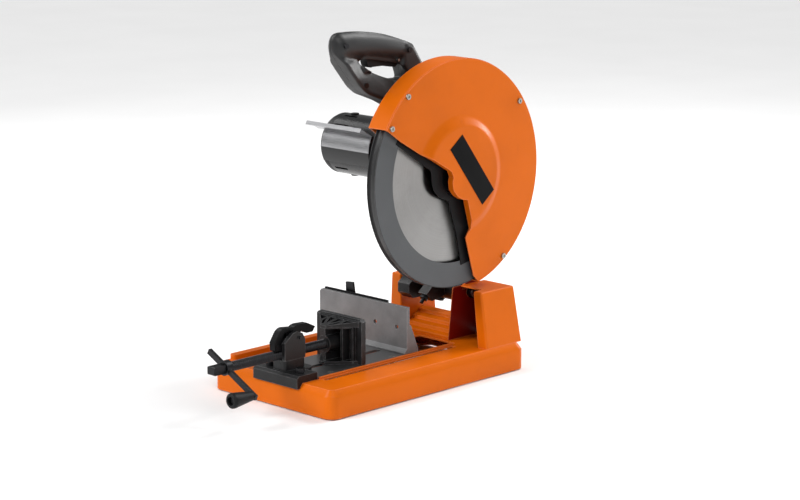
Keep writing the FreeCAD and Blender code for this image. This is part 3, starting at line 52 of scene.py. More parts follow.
class Shader:
    """A Principled material built up from procedural node layers."""

    def __init__(self, name, rough=0.4, metal=0.0, **constants):
        self.material = bpy.data.materials.new(name)
        self.material.use_nodes = True
        self.tree = self.material.node_tree
        self.bsdf = self.tree.nodes["Principled BSDF"]
        self.bsdf.inputs["Roughness"].default_value = rough
        self.bsdf.inputs["Metallic"].default_value = metal
        for socket, value in constants.items():
            self.bsdf.inputs[socket.replace("_", " ")].default_value = value
        self.coord = self.add("ShaderNodeTexCoord").outputs["Object"]
        self.height = None

    def add(self, kind, **settings):
        node = self.tree.nodes.new(kind)
        for key, value in settings.items():
            setattr(node, key, value)
        return node

    def link(self, output, socket):
        self.tree.links.new(output, socket)

    def scaled(self, scale):
        node = self.add("ShaderNodeMapping")
        node.inputs["Scale"].default_value = scale
        self.link(self.coord, node.inputs["Vector"])
        return node.outputs["Vector"]

    def noise(self, scale, detail=3.0, rough=0.55, stretch=(1, 1, 1), vector=None):
        node = self.add("ShaderNodeTexNoise")
        node.inputs["Scale"].default_value = scale
        node.inputs["Detail"].default_value = detail
        node.inputs["Roughness"].default_value = rough
        self.link(vector or self.scaled(stretch), node.inputs["Vector"])
        return node.outputs["Fac"]

    def ramp(self, source, *stops):
        """Colours or grey levels at places between 0 and 1."""
        node = self.add("ShaderNodeValToRGB")
        band = node.color_ramp
        while len(band.elements) < len(stops):
            band.elements.new(0.5)
        for element, (place, colour) in zip(band.elements, stops):
            element.position = place
            if isinstance(colour, (int, float)):
                colour = (colour, colour, colour)
            element.color = (*colour[:3], 1)
        self.link(source, node.inputs["Fac"])
        return node.outputs["Color"]

    def span(self, source, low, high, start=0.0, stop=1.0):
        """Low at the source value start, high at stop."""
        node = self.add("ShaderNodeMapRange")
        node.inputs["From Min"].default_value = start
        node.inputs["From Max"].default_value = stop
        node.inputs["To Min"].default_value = low
        node.inputs["To Max"].default_value = high
        self.link(source, node.inputs["Value"])
        return node.outputs["Result"]

    def math(self, operation, first, second=None):
        node = self.add("ShaderNodeMath", operation=operation)
        for socket, value in zip(node.inputs, (first, second)):
            if value is None:
                continue
            if isinstance(value, (int, float)):
                socket.default_value = value
            else:
                self.link(value, socket)
        return node.outputs[0]

    def mix(self, factor, first, second):
        """From the first colour to the second as the factor grows."""
        node = self.add("ShaderNodeMix", data_type="RGBA")
        pairs = ((node.inputs[0], factor), (node.inputs[6], first), (node.inputs[7], second))
        for socket, value in pairs:
            if isinstance(value, tuple):
                socket.default_value = (*value, 1)
            elif isinstance(value, (int, float)):
                socket.default_value = value
            else:
                self.link(value, socket)
        return node.outputs[2]

    def colour(self, source):
        self.link(source, self.bsdf.inputs["Base Color"])

    def roughness(self, source):
        self.link(source, self.bsdf.inputs["Roughness"])

    def bump(self, source, depth):
        """Relief in metres, on top of any relief laid down before."""
        node = self.add("ShaderNodeBump")
        node.inputs["Distance"].default_value = depth
        node.inputs["Strength"].default_value = 1.0
        self.link(source, node.inputs["Height"])
        if self.height is not None:
            self.link(self.height, node.inputs["Normal"])
        self.height = node.outputs["Normal"]
        self.link(self.height, self.bsdf.inputs["Normal"])

    def edges(self, radius):
        """White where a surface turns over an edge, for worn paint and for a painted highlight on the
        edges.
        """
        bevel = self.add("ShaderNodeBevel", samples=4)
        bevel.inputs["Radius"].default_value = radius
        flat = self.add("ShaderNodeNewGeometry")
        dot = self.add("ShaderNodeVectorMath", operation="DOT_PRODUCT")
        self.link(bevel.outputs["Normal"], dot.inputs[0])
        self.link(flat.outputs["Normal"], dot.inputs[1])
        threshold = 0.03
        return self.span(dot.outputs["Value"], 1.0, 0.0, 1 - threshold * 3, 1 - threshold * 0.2)

    def along(self, axis):
        """One coordinate of the surface point."""
        split = self.add("ShaderNodeSeparateXYZ")
        self.link(self.coord, split.inputs[0])
        return split.outputs[axis]

    def distance_from(self, centre, axes):
        """Distance from a line through the centre, along the one axis left out."""
        total = None
        for axis in axes:
            offset = self.math("SUBTRACT", self.along(axis), centre[axis])
            square = self.math("MULTIPLY", offset, offset)
            total = square if total is None else self.math("ADD", total, square)
        return self.math("SQRT", total)

    def facing_in(self, centre):
        """White on faces that look towards a point, such as the inside of a hollow shell."""
        toward = self.add("ShaderNodeVectorMath", operation="SUBTRACT")
        toward.inputs[0].default_value = centre
        self.link(self.coord, toward.inputs[1])
        unit = self.add("ShaderNodeVectorMath", operation="NORMALIZE")
        self.link(toward.outputs["Vector"], unit.inputs[0])
        flat = self.add("ShaderNodeNewGeometry")
        dot = self.add("ShaderNodeVectorMath", operation="DOT_PRODUCT")
        self.link(unit.outputs["Vector"], dot.inputs[0])
        self.link(flat.outputs["True Normal"], dot.inputs[1])
        return self.span(dot.outputs["Value"], 0.0, 1.0, 0.02, 0.12)


def painted(name, colour, rough=0.34, wear=0.25, coat=0.05, inside=None):
    """Powder coat: slight orange peel, faint dirt, a painted highlight along the edges and a little wear.

    Its inside argument gives the middle of a hollow shell and a painted shade colour for the faces that
    look towards it.
    """
    s = Shader(name, Coat_Weight=coat, Coat_Roughness=0.2, Specular_IOR_Level=0.1)
    dark = tuple(0.9 * c for c in colour)
    light = tuple(min(1, 1.04 * c) for c in colour)
    tone = s.ramp(s.noise(9, 5), (0.3, dark), (0.55, colour), (0.75, light))
    grime = s.ramp(s.noise(42, 6, 0.65), (0.6, 0.0), (0.85, 0.22))
    tone = s.mix(grime, tone, tuple(0.6 * c for c in colour))
    # Painted shade: faces that look into the hollow are darkened towards a deep red, standing in for the
    # shade inside the shell.
    if inside:
        centre, painted_shade = inside
        tone = s.mix(s.facing_in(centre), tone, painted_shade)
    # Painted highlight: the edges are lightened towards a paler copy of the coat, as if they caught the
    # light.
    painted_highlight_lift = 0.19 * max(colour)
    tone = s.mix(s.math("MULTIPLY", s.edges(0.003), 0.4), tone, tuple(1.25 * c + painted_highlight_lift for c in colour))
    worn = s.math("MULTIPLY", s.edges(0.0012), s.ramp(s.noise(160, 4, 0.7), (0.58, 0.0), (0.68, wear)))
    s.colour(s.mix(worn, tone, tuple(0.35 * c + 0.12 for c in colour)))
    s.roughness(s.span(s.noise(30, 4), rough - 0.06, rough + 0.12))
    s.bump(s.noise(650, 2), 0.00003)
    return s.material


RIM_RADIUS = 0.1872     # where the lower guard's face ends and its rolled rim begins


def guard_coat(name, face, rim):
    """Grey powder coat on the face ring, black on the rolled rim outside it."""
    s = Shader(name, Coat_Weight=0.1, Coat_Roughness=0.25, Specular_IOR_Level=0.35)
    away = s.distance_from(arbor, (1, 2))
    edge = s.span(away, 0.0, 1.0, RIM_RADIUS - 0.0004, RIM_RADIUS + 0.0004)
    tone = s.ramp(s.noise(11, 5), (0.3, tuple(0.85 * c for c in face)), (0.7, face))
    black = s.ramp(s.noise(20, 4), (0.3, rim), (0.8, tuple(2.2 * c for c in rim)))
    tone = s.mix(edge, tone, black)
    scuff = s.math("MULTIPLY", s.edges(0.0012), 0.35)
    s.colour(s.mix(scuff, tone, (0.16, 0.16, 0.165)))
    s.roughness(s.span(s.noise(40, 4), 0.36, 0.54))
    s.bump(s.noise(700, 2), 0.00003)
    return s.material


def moulded(name, colour, rough=0.5, grain=0.00006, scale=1500, shine=0.16):
    """Moulded plastic with a fine spark-eroded grain."""
    s = Shader(name, Specular_IOR_Level=shine)
    light = tuple(c * 1.5 + 0.001 for c in colour)
    tone = s.ramp(s.noise(14, 4), (0.35, colour), (0.75, light))
    rub = s.math("MULTIPLY", s.edges(0.0015), 0.3)
    s.colour(s.mix(rub, tone, tuple(c * 2.4 + 0.02 for c in colour)))
    s.roughness(s.span(s.noise(60, 4), rough - 0.07, rough + 0.1))
    s.bump(s.noise(scale, 2), grain)
    return s.material


def cast(name, colour, rough=0.55, depth=0.0003, metal=0.0, coat=0.1, bright=None):
    """Rough casting, painted or bare, rubbed bright along its edges."""
    s = Shader(name, metal=metal, Coat_Weight=coat, Coat_Roughness=0.3, Specular_IOR_Level=0.18)
    light = tuple(c * 1.35 + 0.002 for c in colour)
    tone = s.ramp(s.noise(35, 6, 0.6), (0.3, colour), (0.7, light))
    shine = bright or tuple(c * 2 + 0.05 for c in colour)
    rubbed = s.ramp(s.noise(110, 4, 0.7), (0.35, 0.15), (0.65, 0.75))
    s.colour(s.mix(s.math("MULTIPLY", s.edges(0.0016), rubbed), tone, shine))
    s.roughness(s.span(s.noise(90, 4), rough - 0.1, rough + 0.15))
    s.bump(s.noise(420, 5, 0.6), depth)
    return s.material


def brushed(name, colour, rough=0.3, stretch=(1, 30, 30), scale=60, stain=0.35):
    """Ground or brushed steel; the scratches run along the axis left short."""
    s = Shader(name, metal=1.0)
    streak = s.noise(scale, 6, 0.7, stretch)
    dark = tuple(0.62 * c for c in colour)
    tone = s.ramp(streak, (0.25, dark), (0.75, colour))
    spots = s.ramp(s.noise(25, 6, 0.7), (0.5, 0.0), (0.85, stain))
    s.colour(s.mix(spots, tone, tuple(0.45 * c for c in colour)))
    s.roughness(s.span(streak, rough - 0.08, rough + 0.16))
    s.bump(streak, 0.00004)
    return s.material


def blade_steel():
    """Plate steel ground in rings round the arbor."""
    s = Shader("blade_steel", metal=1.0, rough=0.3, Anisotropic=0.85)
    away = s.distance_from(arbor, (1, 2))
    ring = s.add("ShaderNodeCombineXYZ")
    s.link(away, ring.inputs[0])
    grain = s.noise(900, 5, 0.7, vector=ring.outputs[0])
    broad = s.noise(60, 3, 0.6, vector=ring.outputs[0])
    tone = s.ramp(grain, (0.2, (0.27, 0.265, 0.26)), (0.8, (0.45, 0.44, 0.43)))
    tone = s.mix(s.span(broad, 0.0, 0.35), tone, (0.22, 0.215, 0.21))
    stain = s.ramp(s.noise(18, 6, 0.7), (0.5, 0.0), (0.9, 0.45))
    s.colour(s.mix(stain, tone, (0.2, 0.19, 0.18)))
    s.roughness(s.span(grain, 0.3, 0.42))
    s.bump(grain, 0.00003)
    tangent = s.add("ShaderNodeTangent", direction_type="RADIAL", axis="X")
    s.link(tangent.outputs[0], s.bsdf.inputs["Tangent"])
    return s.material


def seamed(name, colour, plane, rough=0.48):
    """Moulded plastic with a parting line across one X plane."""
    s = Shader(name, Specular_IOR_Level=0.5)
    tone = s.ramp(s.noise(14, 4), (0.35, colour), (0.75, tuple(c * 1.5 + 0.002 for c in colour)))
    gap = s.math("ABSOLUTE", s.math("SUBTRACT", s.along(0), plane))
    line = s.span(gap, 1.0, 0.0, 0.0002, 0.0008)
    s.colour(s.mix(line, tone, (0.004, 0.004, 0.004)))
    s.roughness(s.span(s.noise(60, 4), rough - 0.07, rough + 0.1))
    s.bump(s.noise(1500, 2), 0.00006)
    s.bump(s.span(gap, 0.0, 1.0, 0.0, 0.0009), 0.0005)
    return s.material


def shield_sheet(lip):
    """Bright rolled sheet whose lower lip is dipped in black paint."""
    s = Shader("shield_sheet")
    streak = s.noise(45, 6, 0.7, (1, 24, 24))
    bare = s.span(s.along(2), 0.0, 1.0, lip - 0.0006, lip + 0.0006)
    tone = s.ramp(streak, (0.25, (0.30, 0.30, 0.31)), (0.75, (0.50, 0.50, 0.51)))
    s.colour(s.mix(bare, (0.006, 0.006, 0.0065), tone))
    s.link(bare, s.bsdf.inputs["Metallic"])
    s.roughness(s.span(streak, 0.22, 0.4))
    s.bump(streak, 0.00003)
    return s.material


def wound_copper():
    """Laminated iron with copper showing between."""
    s = Shader("laminated_core", metal=0.9, rough=0.4)
    wave = s.add("ShaderNodeTexWave", bands_direction="X")
    wave.inputs["Scale"].default_value = 160
    s.link(s.coord, wave.inputs["Vector"])
    s.colour(s.ramp(wave.outputs["Fac"], (0.2, (0.12, 0.10, 0.09)), (0.7, (0.55, 0.27, 0.12))))
    s.bump(wave.outputs["Fac"], 0.0002)
    s.roughness(s.span(s.noise(200, 3), 0.3, 0.55))
    return s.material


def middle_of(node):
    """Middle of a node's box."""
    return tuple((low + high) / 2 for low, high in zip(*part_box(node)))


arbor = middle_of("blade")
seam_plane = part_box("handle_left")[1].x
shield_low, shield_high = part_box("motor_chip_shield")
painted_lip = shield_low.z + 0.36 * (shield_high.z - shield_low.z)

ORANGE = (0.62, 0.119, 0.001)
# Painted shade for the faces inside the right pedestal's hollow; the paint there is the same orange.
PAINTED_SHADE_RED = (0.16, 0.004, 0.0015)
MATERIALS = {
    "orange": painted("orange_coat", ORANGE),
    "orange_painted_shade": painted("orange_painted_shade_coat", ORANGE, inside=(middle_of("right_pedestal"), PAINTED_SHADE_RED)),
    "fence": cast("fence_grey", (0.15, 0.15, 0.152), 0.5, 0.0002, 0.35, bright=(0.4, 0.4, 0.4)),
    "black_paint": painted("black_coat", (0.0045, 0.0045, 0.005), 0.4, 0.1, coat=0.03),
    "guard": guard_coat("guard_grey", (0.072, 0.076, 0.081), (0.006, 0.006, 0.0065)),
    "plastic": moulded("black_plastic", (0.006, 0.006, 0.0065), 0.42),
    "gloss": moulded("gloss_black", (0.004, 0.004, 0.0045), 0.24, 0.00002, 700, 0.3),
    "handle": seamed("handle_plastic", (0.005, 0.005, 0.0055), seam_plane, 0.44),
    "soft": moulded("soft_rubber", (0.009, 0.009, 0.009), 0.72, 0.00012, 900),
    "iron": cast("black_iron", (0.006, 0.006, 0.0065), 0.34, 0.0005, coat=0.2, bright=(0.2, 0.2, 0.205)),
    "bed": brushed("bed_steel", (0.34, 0.34, 0.345), 0.36, (1, 26, 26), 40),
    "steel": brushed("bright_steel", (0.50, 0.49, 0.475), 0.3, (30, 30, 1), 60),
    "zinc": brushed("zinc_plate", (0.52, 0.51, 0.48), 0.36, (3, 3, 3), 90, 0.2),
    "shield": shield_sheet(painted_lip),
    "oxide": brushed("black_oxide", (0.045, 0.045, 0.048), 0.36, (8, 8, 8), 60),
    "aluminium": cast("cast_aluminium", (0.42, 0.42, 0.41), 0.42, 0.0002, 1.0, 0.0),
    "copper": wound_copper(),
    "blade": blade_steel(),
    "label": moulded("label_blank", (0.003, 0.003, 0.0032), 0.34, 0.00002, 800, 0.06),
}

FINISHES = {
    "orange": "base_tray left_pedestal rear_crossbeam upper_guard_housing guard_cover",
    "orange_painted_shade": "right_pedestal",
    "fence": "fence",
    "black_paint": "fence_backing_strip lower_guard_hub half_nut_lever",
    "guard": "lower_guard_band",
    "plastic": "motor_end_cap brush_caps cooling_fan crank_knob trigger trigger_switch",
    "gloss": "motor_housing",
    "handle": "handle_left handle_right",
    "soft": "rubber_feet cord_gland",
    "iron": "vise_base movable_jaw gear_case arm_casting",
    "bed": "bed_plate",
    "steel": "hinge_shaft bearings spindle spindle_gear intermediate_gear trigger_pin jaw_keeper",
    "zinc": "bed_screws fence_bolts guard_cover_screws",
    "shield": "motor_chip_shield",
    "oxide": "torsion_spring fence_lever_bracket vise_base_bolts gear_case_screws carbon_brushes "
             "handle_screws blade_flanges arbor_bolt vise_screw crank_bar fence_clamp_lever hinge_nuts "
             "half_nut_pin crank_knob_pin depth_stop_bolt depth_stop_nut hinge_bushes",
    "aluminium": "gear_case_cover",
    "copper": "stator_core armature",
    "blade": "blade",
    "label": "label_plate",
}

# Edge rounding in millimetres; a node that isn't listed gets the default.
ROUNDING = {
    "base_tray": 2.2, "right_pedestal": 1.6, "left_pedestal": 1.6, "rear_crossbeam": 0.8,
    "upper_guard_housing": 0.7, "guard_cover": 0.5, "lower_guard_band": 0.5, "lower_guard_hub": 0.5,
    "blade": 0.12, "bed_plate": 0.6, "fence": 0.5, "fence_backing_strip": 0.8, "fence_clamp_lever": 1.0,
    "movable_jaw": 1.6, "vise_base": 2.6, "half_nut_lever": 2.6, "crank_bar": 2.7,
    "gear_case": 2.0, "arm_casting": 2.2, "motor_housing": 1.0, "motor_end_cap": 1.0,
    "motor_chip_shield": 0.5, "handle_left": 3.0, "handle_right": 3.0, "trigger": 2.0, "label_plate": 0.3,
    "spindle_gear": 0.15, "intermediate_gear": 0.15, "armature": 0.15, "torsion_spring": 0.0,
}
DEFAULT_ROUNDING = 0.5
ROUNDED_ABOVE = 38      # degrees; edges that turn further than this are rounded

# Plates whose many thin triangles are merged before their edges are rounded.
FLAT_SHEETS = ("fence", "guard_cover", "left_pedestal")


def soften(obj, width):
    """Weld the facets, round the edges a little and shade smoothly across them."""
    stored_normals = obj.data.attributes.get("custom_normal")
    if stored_normals:
        obj.data.attributes.remove(stored_normals)
    for polygon in obj.data.polygons:
        polygon.use_smooth = True
    weld = obj.modifiers.new("weld", "WELD")
    weld.merge_threshold = 0.00001
    if width > 0:
        if obj.name in FLAT_SHEETS:
            flat = obj.modifiers.new("flat", "DECIMATE")
            flat.decimate_type = "DISSOLVE"
            flat.angle_limit = math.radians(0.05)
        bevel = obj.modifiers.new("edge", "BEVEL")
        bevel.width = width * MM
        bevel.segments = 3
        bevel.limit_method = "ANGLE"
        bevel.angle_limit = math.radians(ROUNDED_ABOVE)
        bevel.miter_outer = "MITER_ARC"
    shade = obj.modifiers.new("shade", "WEIGHTED_NORMAL")
    shade.keep_sharp = False
    shade.weight = 60


def give(obj, key):
    """One material in place of any that the node had."""
    obj.data.materials.clear()
    obj.data.materials.append(MATERIALS[key])


for key, words in FINISHES.items():
    for word in words.split():
        give(NODES[word], key)
        soften(NODES[word], ROUNDING.get(word, DEFAULT_ROUNDING))

# ---------------------------------------------------------------- new pieces


def new_object(name, vertices, faces, body, key):
    """A new piece that rides on a body of the frame."""
    mesh = bpy.data.meshes.new(name)
    mesh.from_pydata([tuple(v) for v in vertices], [], faces)
    mesh.update()
    obj = bpy.data.objects.new(name, mesh)
    bpy.context.scene.collection.objects.link(obj)
    for polygon in mesh.polygons:
        polygon.use_smooth = True
    mesh.materials.append(MATERIALS[key])
    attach(obj, body)
    return obj


def rounded_corners(points, radius, steps=5):
    """Round every corner of a closed outline; a third number on a point is its own radius."""
    result = []
    count = len(points)
    for index, point in enumerate(points):
        here = Vector(point[:2])
        own = point[2] if len(point) > 2 else radius
        before = Vector(points[index - 1][:2]) - here
        after = Vector(points[(index + 1) % count][:2]) - here
        reach = min(own, 0.45 * before.length, 0.45 * after.length)
        first = here + before.normalized() * reach
        last = here + after.normalized() * reach
        for step in range(steps + 1):
            part = step / steps
            result.append(first * (1 - part) ** 2 + here * 2 * part * (1 - part) + last * part ** 2)
    return result


def side_prism(name, outline, holes, low_x, high_x, body, key):
    """Solid with a (Y, Z) outline and holes, between two X planes, in millimetres."""
    loops = [outline] + holes
    triangles = tessellate_polygon([[Vector((y, z, 0)) for y, z in loop] for loop in loops])
    flat = [(y, z) for loop in loops for y, z in loop]
    count = len(flat)
    vertices = [(x * MM, y * MM, z * MM) for x in (low_x, high_x) for y, z in flat]
    faces = [tuple(t) for t in triangles] + [tuple(i + count for i in reversed(t)) for t in triangles]
    start = 0
    for loop in loops:
        for index in range(len(loop)):
            a, b = start + index, start + (index + 1) % len(loop)
            faces.append((a, b, b + count, a + count))
        start += len(loop)
    obj = new_object(name, vertices, faces, body, key)
    mesh = bmesh.new()
    mesh.from_mesh(obj.data)
    bmesh.ops.recalc_face_normals(mesh, faces=mesh.faces)
    mesh.to_mesh(obj.data)
    mesh.free()
    return obj


def merged(name, pieces, body, key):
    """One new piece from several; the originals are removed."""
    vertices, faces = [], []
    for piece in pieces:
        start = len(vertices)
        vertices += [tuple(v.co) for v in piece.data.vertices]
        faces += [tuple(start + i for i in p.vertices) for p in piece.data.polygons]
        bpy.data.objects.remove(piece)
    return new_object(name, vertices, faces, body, key)


def lathe(name, profile, x, z, body, key, around=64):
    """Turned piece about an axis parallel to Y; the profile is (y, radius)."""
    vertices, faces = [], []
    for y, radius in profile:
        for column in range(around):
            angle = 2 * math.pi * column / around
            vertices.append((x + radius * math.cos(angle), y, z + radius * math.sin(angle)))
    for row in range(len(profile) - 1):
        for column in range(around):
            a, b = row * around + column, row * around + (column + 1) % around
            faces.append((a, b, b + around, a + around))
    obj = new_object(name, vertices, faces, body, key)
    obj.data.set_sharp_from_angle(angle=math.radians(40))
    return obj


def bake_modifiers(obj):
    """Replace the mesh of a new piece with its evaluated shape."""
    graph = bpy.context.evaluated_depsgraph_get()
    mesh = bpy.data.meshes.new_from_object(obj.evaluated_get(graph))
    obj.modifiers.clear()
    old = obj.data
    obj.data = mesh
    bpy.data.meshes.remove(old)
    for polygon in mesh.polygons:
        polygon.use_smooth = True


def relax(obj, rounds):
    """Even out a dense mesh a little in each round."""
    smooth = obj.modifiers.new("smooth", "SMOOTH")
    smooth.factor = 0.5
    smooth.iterations = rounds
    bake_modifiers(obj)


def melt(obj, voxel, rounds):
    """Fuse and round a piece all over, like a moulded part."""
    remesh = obj.modifiers.new("remesh", "REMESH")
    remesh.mode = "VOXEL"
    remesh.voxel_size = voxel * MM
    relax(obj, rounds)


def gap_to(loop, points):
    """Distance of each (y, z) point from a closed outline."""
    corners = np.array([tuple(c) for c in loop])
    best = np.full(len(points), 1e9)
    for start, end in zip(corners, np.roll(corners, -1, axis=0)):
        edge = end - start
        along = np.clip(((points - start) @ edge) / max(edge @ edge, 1e-9), 0, 1)
        best = np.minimum(best, np.linalg.norm(points - start - along[:, None] * edge, axis=1))
    return best


def ease(value, low, high):
    """0 below low, 1 above high and a smooth step between."""
    part = np.clip((value - low) / (high - low), 0, 1)
    return part * part * (3 - 2 * part)


# Side view of the handle as (y, z, corner radius) in millimetres.
HANDLE_OUTLINE = [
    (-101.5, 556, 8), (-102, 578, 12), (-90, 586.2, 10), (-48, 585.8, 30), (-3, 580.5, 40),
    (26, 573.5, 30), (56, 563.5, 12), (73.5, 556.5, 4), (101, 516.5, 10), (112, 478, 8), (112, 432, 2),
    (60, 432, 2), (40, 450, 20), (11, 466, 20), (-21, 478, 20), (-34, 482.5, 12), (-50, 494, 10),
    (-74, 522, 20),
]
WINDOW_BOTTOM = [(57.5, 500.5, 4), (31.5, 501.2, 10), (8.5, 507.8, 20), (-17, 517.3, 20), (-34, 526, 12)]
WINDOW_TOP = [(-47, 537, 4), (-36, 540.5, 4), (4, 534, 20), (40, 527, 8), (52, 519, 8)]
TRIGGER_ROOM_TOP = [
    (-47, 537, 4), (-38, 541, 1), (-37, 560, 1), (-24, 573, 1), (26, 573, 1), (36, 560, 1),
    (49, 546, 1), (50, 526, 1),
]
TRIGGER_ROOM_HALF = 8.5
ROOM_WALL = 2.6
LEAST_HALF_WIDTH = 3.0
GRIP_HEIGHT = 42
STRUT_AT_WINDOW, STRUT_FLARE = 5.5, 13.5        # half width beside the window, and what the flare adds
NOSE_FRONT, NOSE_RADIUS = -102, 19


def handle_half_width(y, z, half, outline, window):
    """Half width of the handle at each side-view point, and which points lie beside the trigger's room.

    A flared strut turns into the fat grip above it, the boxed neck behind and the domed nose in front.
    """
    points = np.stack([y, z], axis=1)
    from_window, from_outline = gap_to(window, points), gap_to(outline, points)
    share = from_window / np.maximum(from_window + from_outline, 1e-6)
    strut = STRUT_AT_WINDOW + STRUT_FLARE * np.minimum(share / 0.86, 1)
    # The grip is rounded about a line that falls away towards the back.
    crown = 585.5 - 0.11 * np.clip(y + 60, 0, None) - 0.0009 * np.clip(y + 30, 0, None) ** 2
    across = np.clip(2 * (crown - z) / GRIP_HEIGHT - 1, -1, 1)
    grip = half * np.sqrt(1 - 0.9 * across ** 2)
    neck = np.minimum(half, half - 5 + 0.9 * from_outline)
    # Strut below, grip above, and behind a slanting line the neck.
    upper = ease(z + 0.1 * y, 528, 548)
    width = grip * upper + strut * (1 - upper)
    rear = ease(y - 0.28 * (z - 545), 49, 52.5)
    width = width * (1 - rear) + neck * rear
    nose = np.clip(y - NOSE_FRONT, 0, NOSE_RADIUS)
    width -= (NOSE_RADIUS - np.sqrt(NOSE_RADIUS ** 2 - (NOSE_RADIUS - nose) ** 2)) * 0.9
    beside_room = (y > -38) & (y < 51) & (z > 518) & (from_outline > 8)
    least = np.where(beside_room, TRIGGER_ROOM_HALF + ROOM_WALL, LEAST_HALF_WIDTH)
    return np.maximum(width, least), beside_room


def make_handle():
    """D handle: a fat round grip with a domed nose, flared struts and a boxed neck at the back."""
    low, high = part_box("handle_left")[0].x / MM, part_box("handle_right")[1].x / MM
    middle, half = (low + high) / 2, (high - low) / 2
    outline = rounded_corners(HANDLE_OUTLINE, 10)
    window = rounded_corners(WINDOW_TOP + WINDOW_BOTTOM, 6)
    open_room = rounded_corners(TRIGGER_ROOM_TOP + WINDOW_BOTTOM, 6)
    steps = (middle - half, middle - TRIGGER_ROOM_HALF, middle + TRIGGER_ROOM_HALF, middle + half)
    pieces = []
    for index, hole in enumerate((window, open_room, window)):
        pieces.append(side_prism("handle_slab_%d" % index, outline, [hole], steps[index],
                                 steps[index + 1], "arm", "handle"))
    shell = merged("handle_shell", pieces, "arm", "handle")
    melt(shell, 1.4, 8)
    flat = np.empty(len(shell.data.vertices) * 3)
    shell.data.vertices.foreach_get("co", flat)
    place = flat.reshape(-1, 3) / MM
    width, beside_room = handle_half_width(place[:, 1], place[:, 2], half, outline, window)
    # The walls of the trigger's room stay where they are; only what lies outside them is drawn in.
    inner = np.where(beside_room, TRIGGER_ROOM_HALF + 0.3, 1.0)
    offset = place[:, 0] - middle
    reach = np.abs(offset)
    drawn_in = inner + (reach - inner) * (width - inner) / (half - inner)
    place[:, 0] = middle + np.sign(offset) * np.where(reach > inner, drawn_in, reach)
    shell.data.vertices.foreach_set("co", (place * MM).reshape(-1))
    shell.data.update()
    relax(shell, 14)
    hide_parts("handle_left", "handle_right")


# The vise screw in metres; its thread fades in behind the crank and out at the far end.
THREAD_PITCH, THREAD_CREST, THREAD_DEPTH = 0.004, 0.00798, 0.00115
FADE_IN, FADE_OUT = 0.006, 0.014
NECK_RADIUS = 0.0064
BAR_LENGTH = 0.025


def screw_thread(x, z, start, stop):
    """Rod with a helical trapezoidal thread that runs out at both ends."""
    around, per_turn = 40, 8
    rows = int((stop - start) / THREAD_PITCH * per_turn)
    vertices, faces = [], []
    for row in range(rows + 1):
        y = start + (stop - start) * row / rows
        fade = min(1.0, (y - start) / FADE_IN, (stop - y) / FADE_OUT)
        for column in range(around):
            angle = 2 * math.pi * column / around
            phase = ((y - start) / THREAD_PITCH - column / around) % 1.0
            wave = min(1.0, max(0.0, 2.2 - abs(phase - 0.5) * 6.4))
            radius = THREAD_CREST - THREAD_DEPTH * (1 - wave) * max(fade, 0.0)
            vertices.append((x + radius * math.cos(angle), y, z + radius * math.sin(angle)))
    for row in range(rows):
        for column in range(around):
            a, b = row * around + column, row * around + (column + 1) % around
            faces.append((a, a + around, b + around, b))
    faces.append(tuple(range(around)))
    faces.append(tuple(rows * around + i for i in reversed(range(around))))
    return new_object("vise_screw_thread", vertices, faces, "screw", "oxide")


def make_screw():
    """Vise screw: a threaded rod, a plain neck through the crank and a flat bar at the front end."""
    low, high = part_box("vise_screw")
    x, z = (low.x + high.x) / 2, (low.z + high.z) / 2
    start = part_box("crank_bar")[1].y + 0.0005
    thread = screw_thread(x, z, start, high.y)
    flat_end = low.y + BAR_LENGTH
    reach = [(start + 0.0004, NECK_RADIUS), (flat_end - 0.001, NECK_RADIUS)]
    neck = lathe("vise_screw_neck", reach, x, z, "screw", "oxide", 48)
    half_wide, half_tall = 8.2, 6.6
    front, back, bottom, top = low.y / MM, flat_end / MM, z / MM - half_tall, z / MM + half_tall
    side = rounded_corners([(front, bottom, 2.5), (back, bottom), (back, top), (front, top, 2.5)], 2)
    bar = side_prism("vise_screw_stub", side, [], x / MM - half_wide, x / MM + half_wide, "screw", "oxide")
    soften(bar, 1.2)
    bake_modifiers(bar)
    for piece in (thread, neck, bar):
        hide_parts("vise_screw")


make_handle()
make_screw()

# ---------------------------------------------------------------- stage


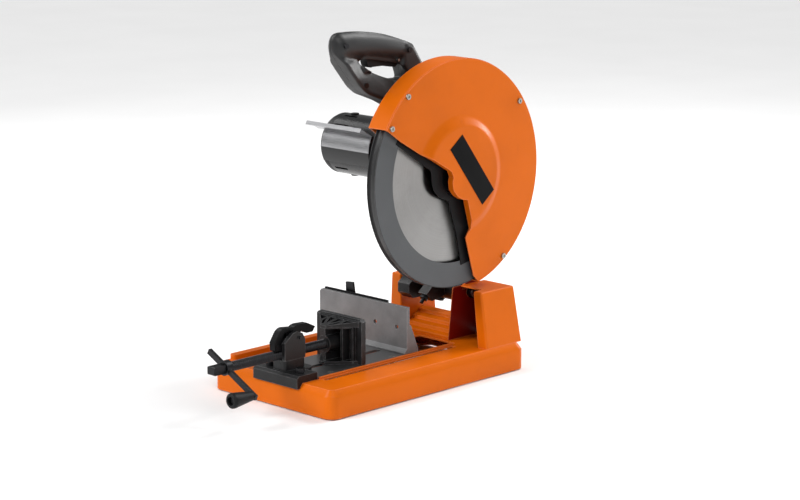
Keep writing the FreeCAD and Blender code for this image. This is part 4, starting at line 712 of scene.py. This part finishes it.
def make_floor():
    """A pale floor, wide enough to fill the background of the photo's view."""
    mesh = bpy.data.meshes.new("floor")
    size = 40
    corners = [(-size, -size, 0), (size, -size, 0), (size, size, 0), (-size, size, 0)]
    mesh.from_pydata(corners, [], [(0, 1, 2, 3)])
    floor = bpy.data.objects.new("floor", mesh)
    bpy.context.scene.collection.objects.link(floor)
    s = Shader("floor_pale", rough=0.7)
    s.colour(s.ramp(s.noise(3, 2), (0.3, 0.9), (0.7, 0.92)))
    mesh.materials.append(s.material)


def add_light(name, kind, place, power, **shape):
    """A light aimed at the middle of the object."""
    data = bpy.data.lights.new(name, kind)
    data.energy = power
    for key, value in shape.items():
        setattr(data, key, value)
    light = bpy.data.objects.new(name, data)
    light.location = place
    aim = Vector((0, 0, 0.3)) - Vector(place)
    light.rotation_euler = aim.to_track_quat("-Z", "Y").to_euler()
    bpy.context.scene.collection.objects.link(light)


def make_lights():
    """A faint white world, two wide suns for even light and three lamps for highlights."""
    world = bpy.data.worlds.new("studio")
    bpy.context.scene.world = world
    world.use_nodes = True
    back = world.node_tree.nodes["Background"]
    back.inputs["Color"].default_value = (1, 1, 1, 1)
    back.inputs["Strength"].default_value = 0.27
    add_light("key", "SUN", (-1.2, -2.6, 2.3), 2.35, angle=math.radians(30))
    add_light("side", "SUN", (2.6, -1.3, 2.6), 1.15, angle=math.radians(40))
    add_light("top", "AREA", (0.6, 1.9, 2.4), 48, shape="RECTANGLE", size=1.5, size_y=0.8)
    add_light("strip", "AREA", (-2.4, 0.3, 1.5), 20, shape="RECTANGLE", size=0.7, size_y=1.6)
    add_light("rake", "AREA", (0.6, 2.7, 0.85), 24, shape="DISK", size=0.45)


def make_camera():
    """The view of the photo: from the front right, a little above the object."""
    bpy.context.scene.view_settings.view_transform = "Standard"
    data = bpy.data.cameras.new("camera")
    data.lens = 101.45
    data.sensor_width = 36
    data.clip_end = 100
    camera = bpy.data.objects.new("camera", data)
    camera.location = (2.5856, -2.5660, 0.9883)
    target = Vector((0.0658, 0.0, 0.2289))
    camera.rotation_euler = (target - camera.location).to_track_quat("-Z", "Y").to_euler()
    bpy.context.scene.collection.objects.link(camera)
    bpy.context.scene.camera = camera


make_floor()
make_lights()
make_camera()
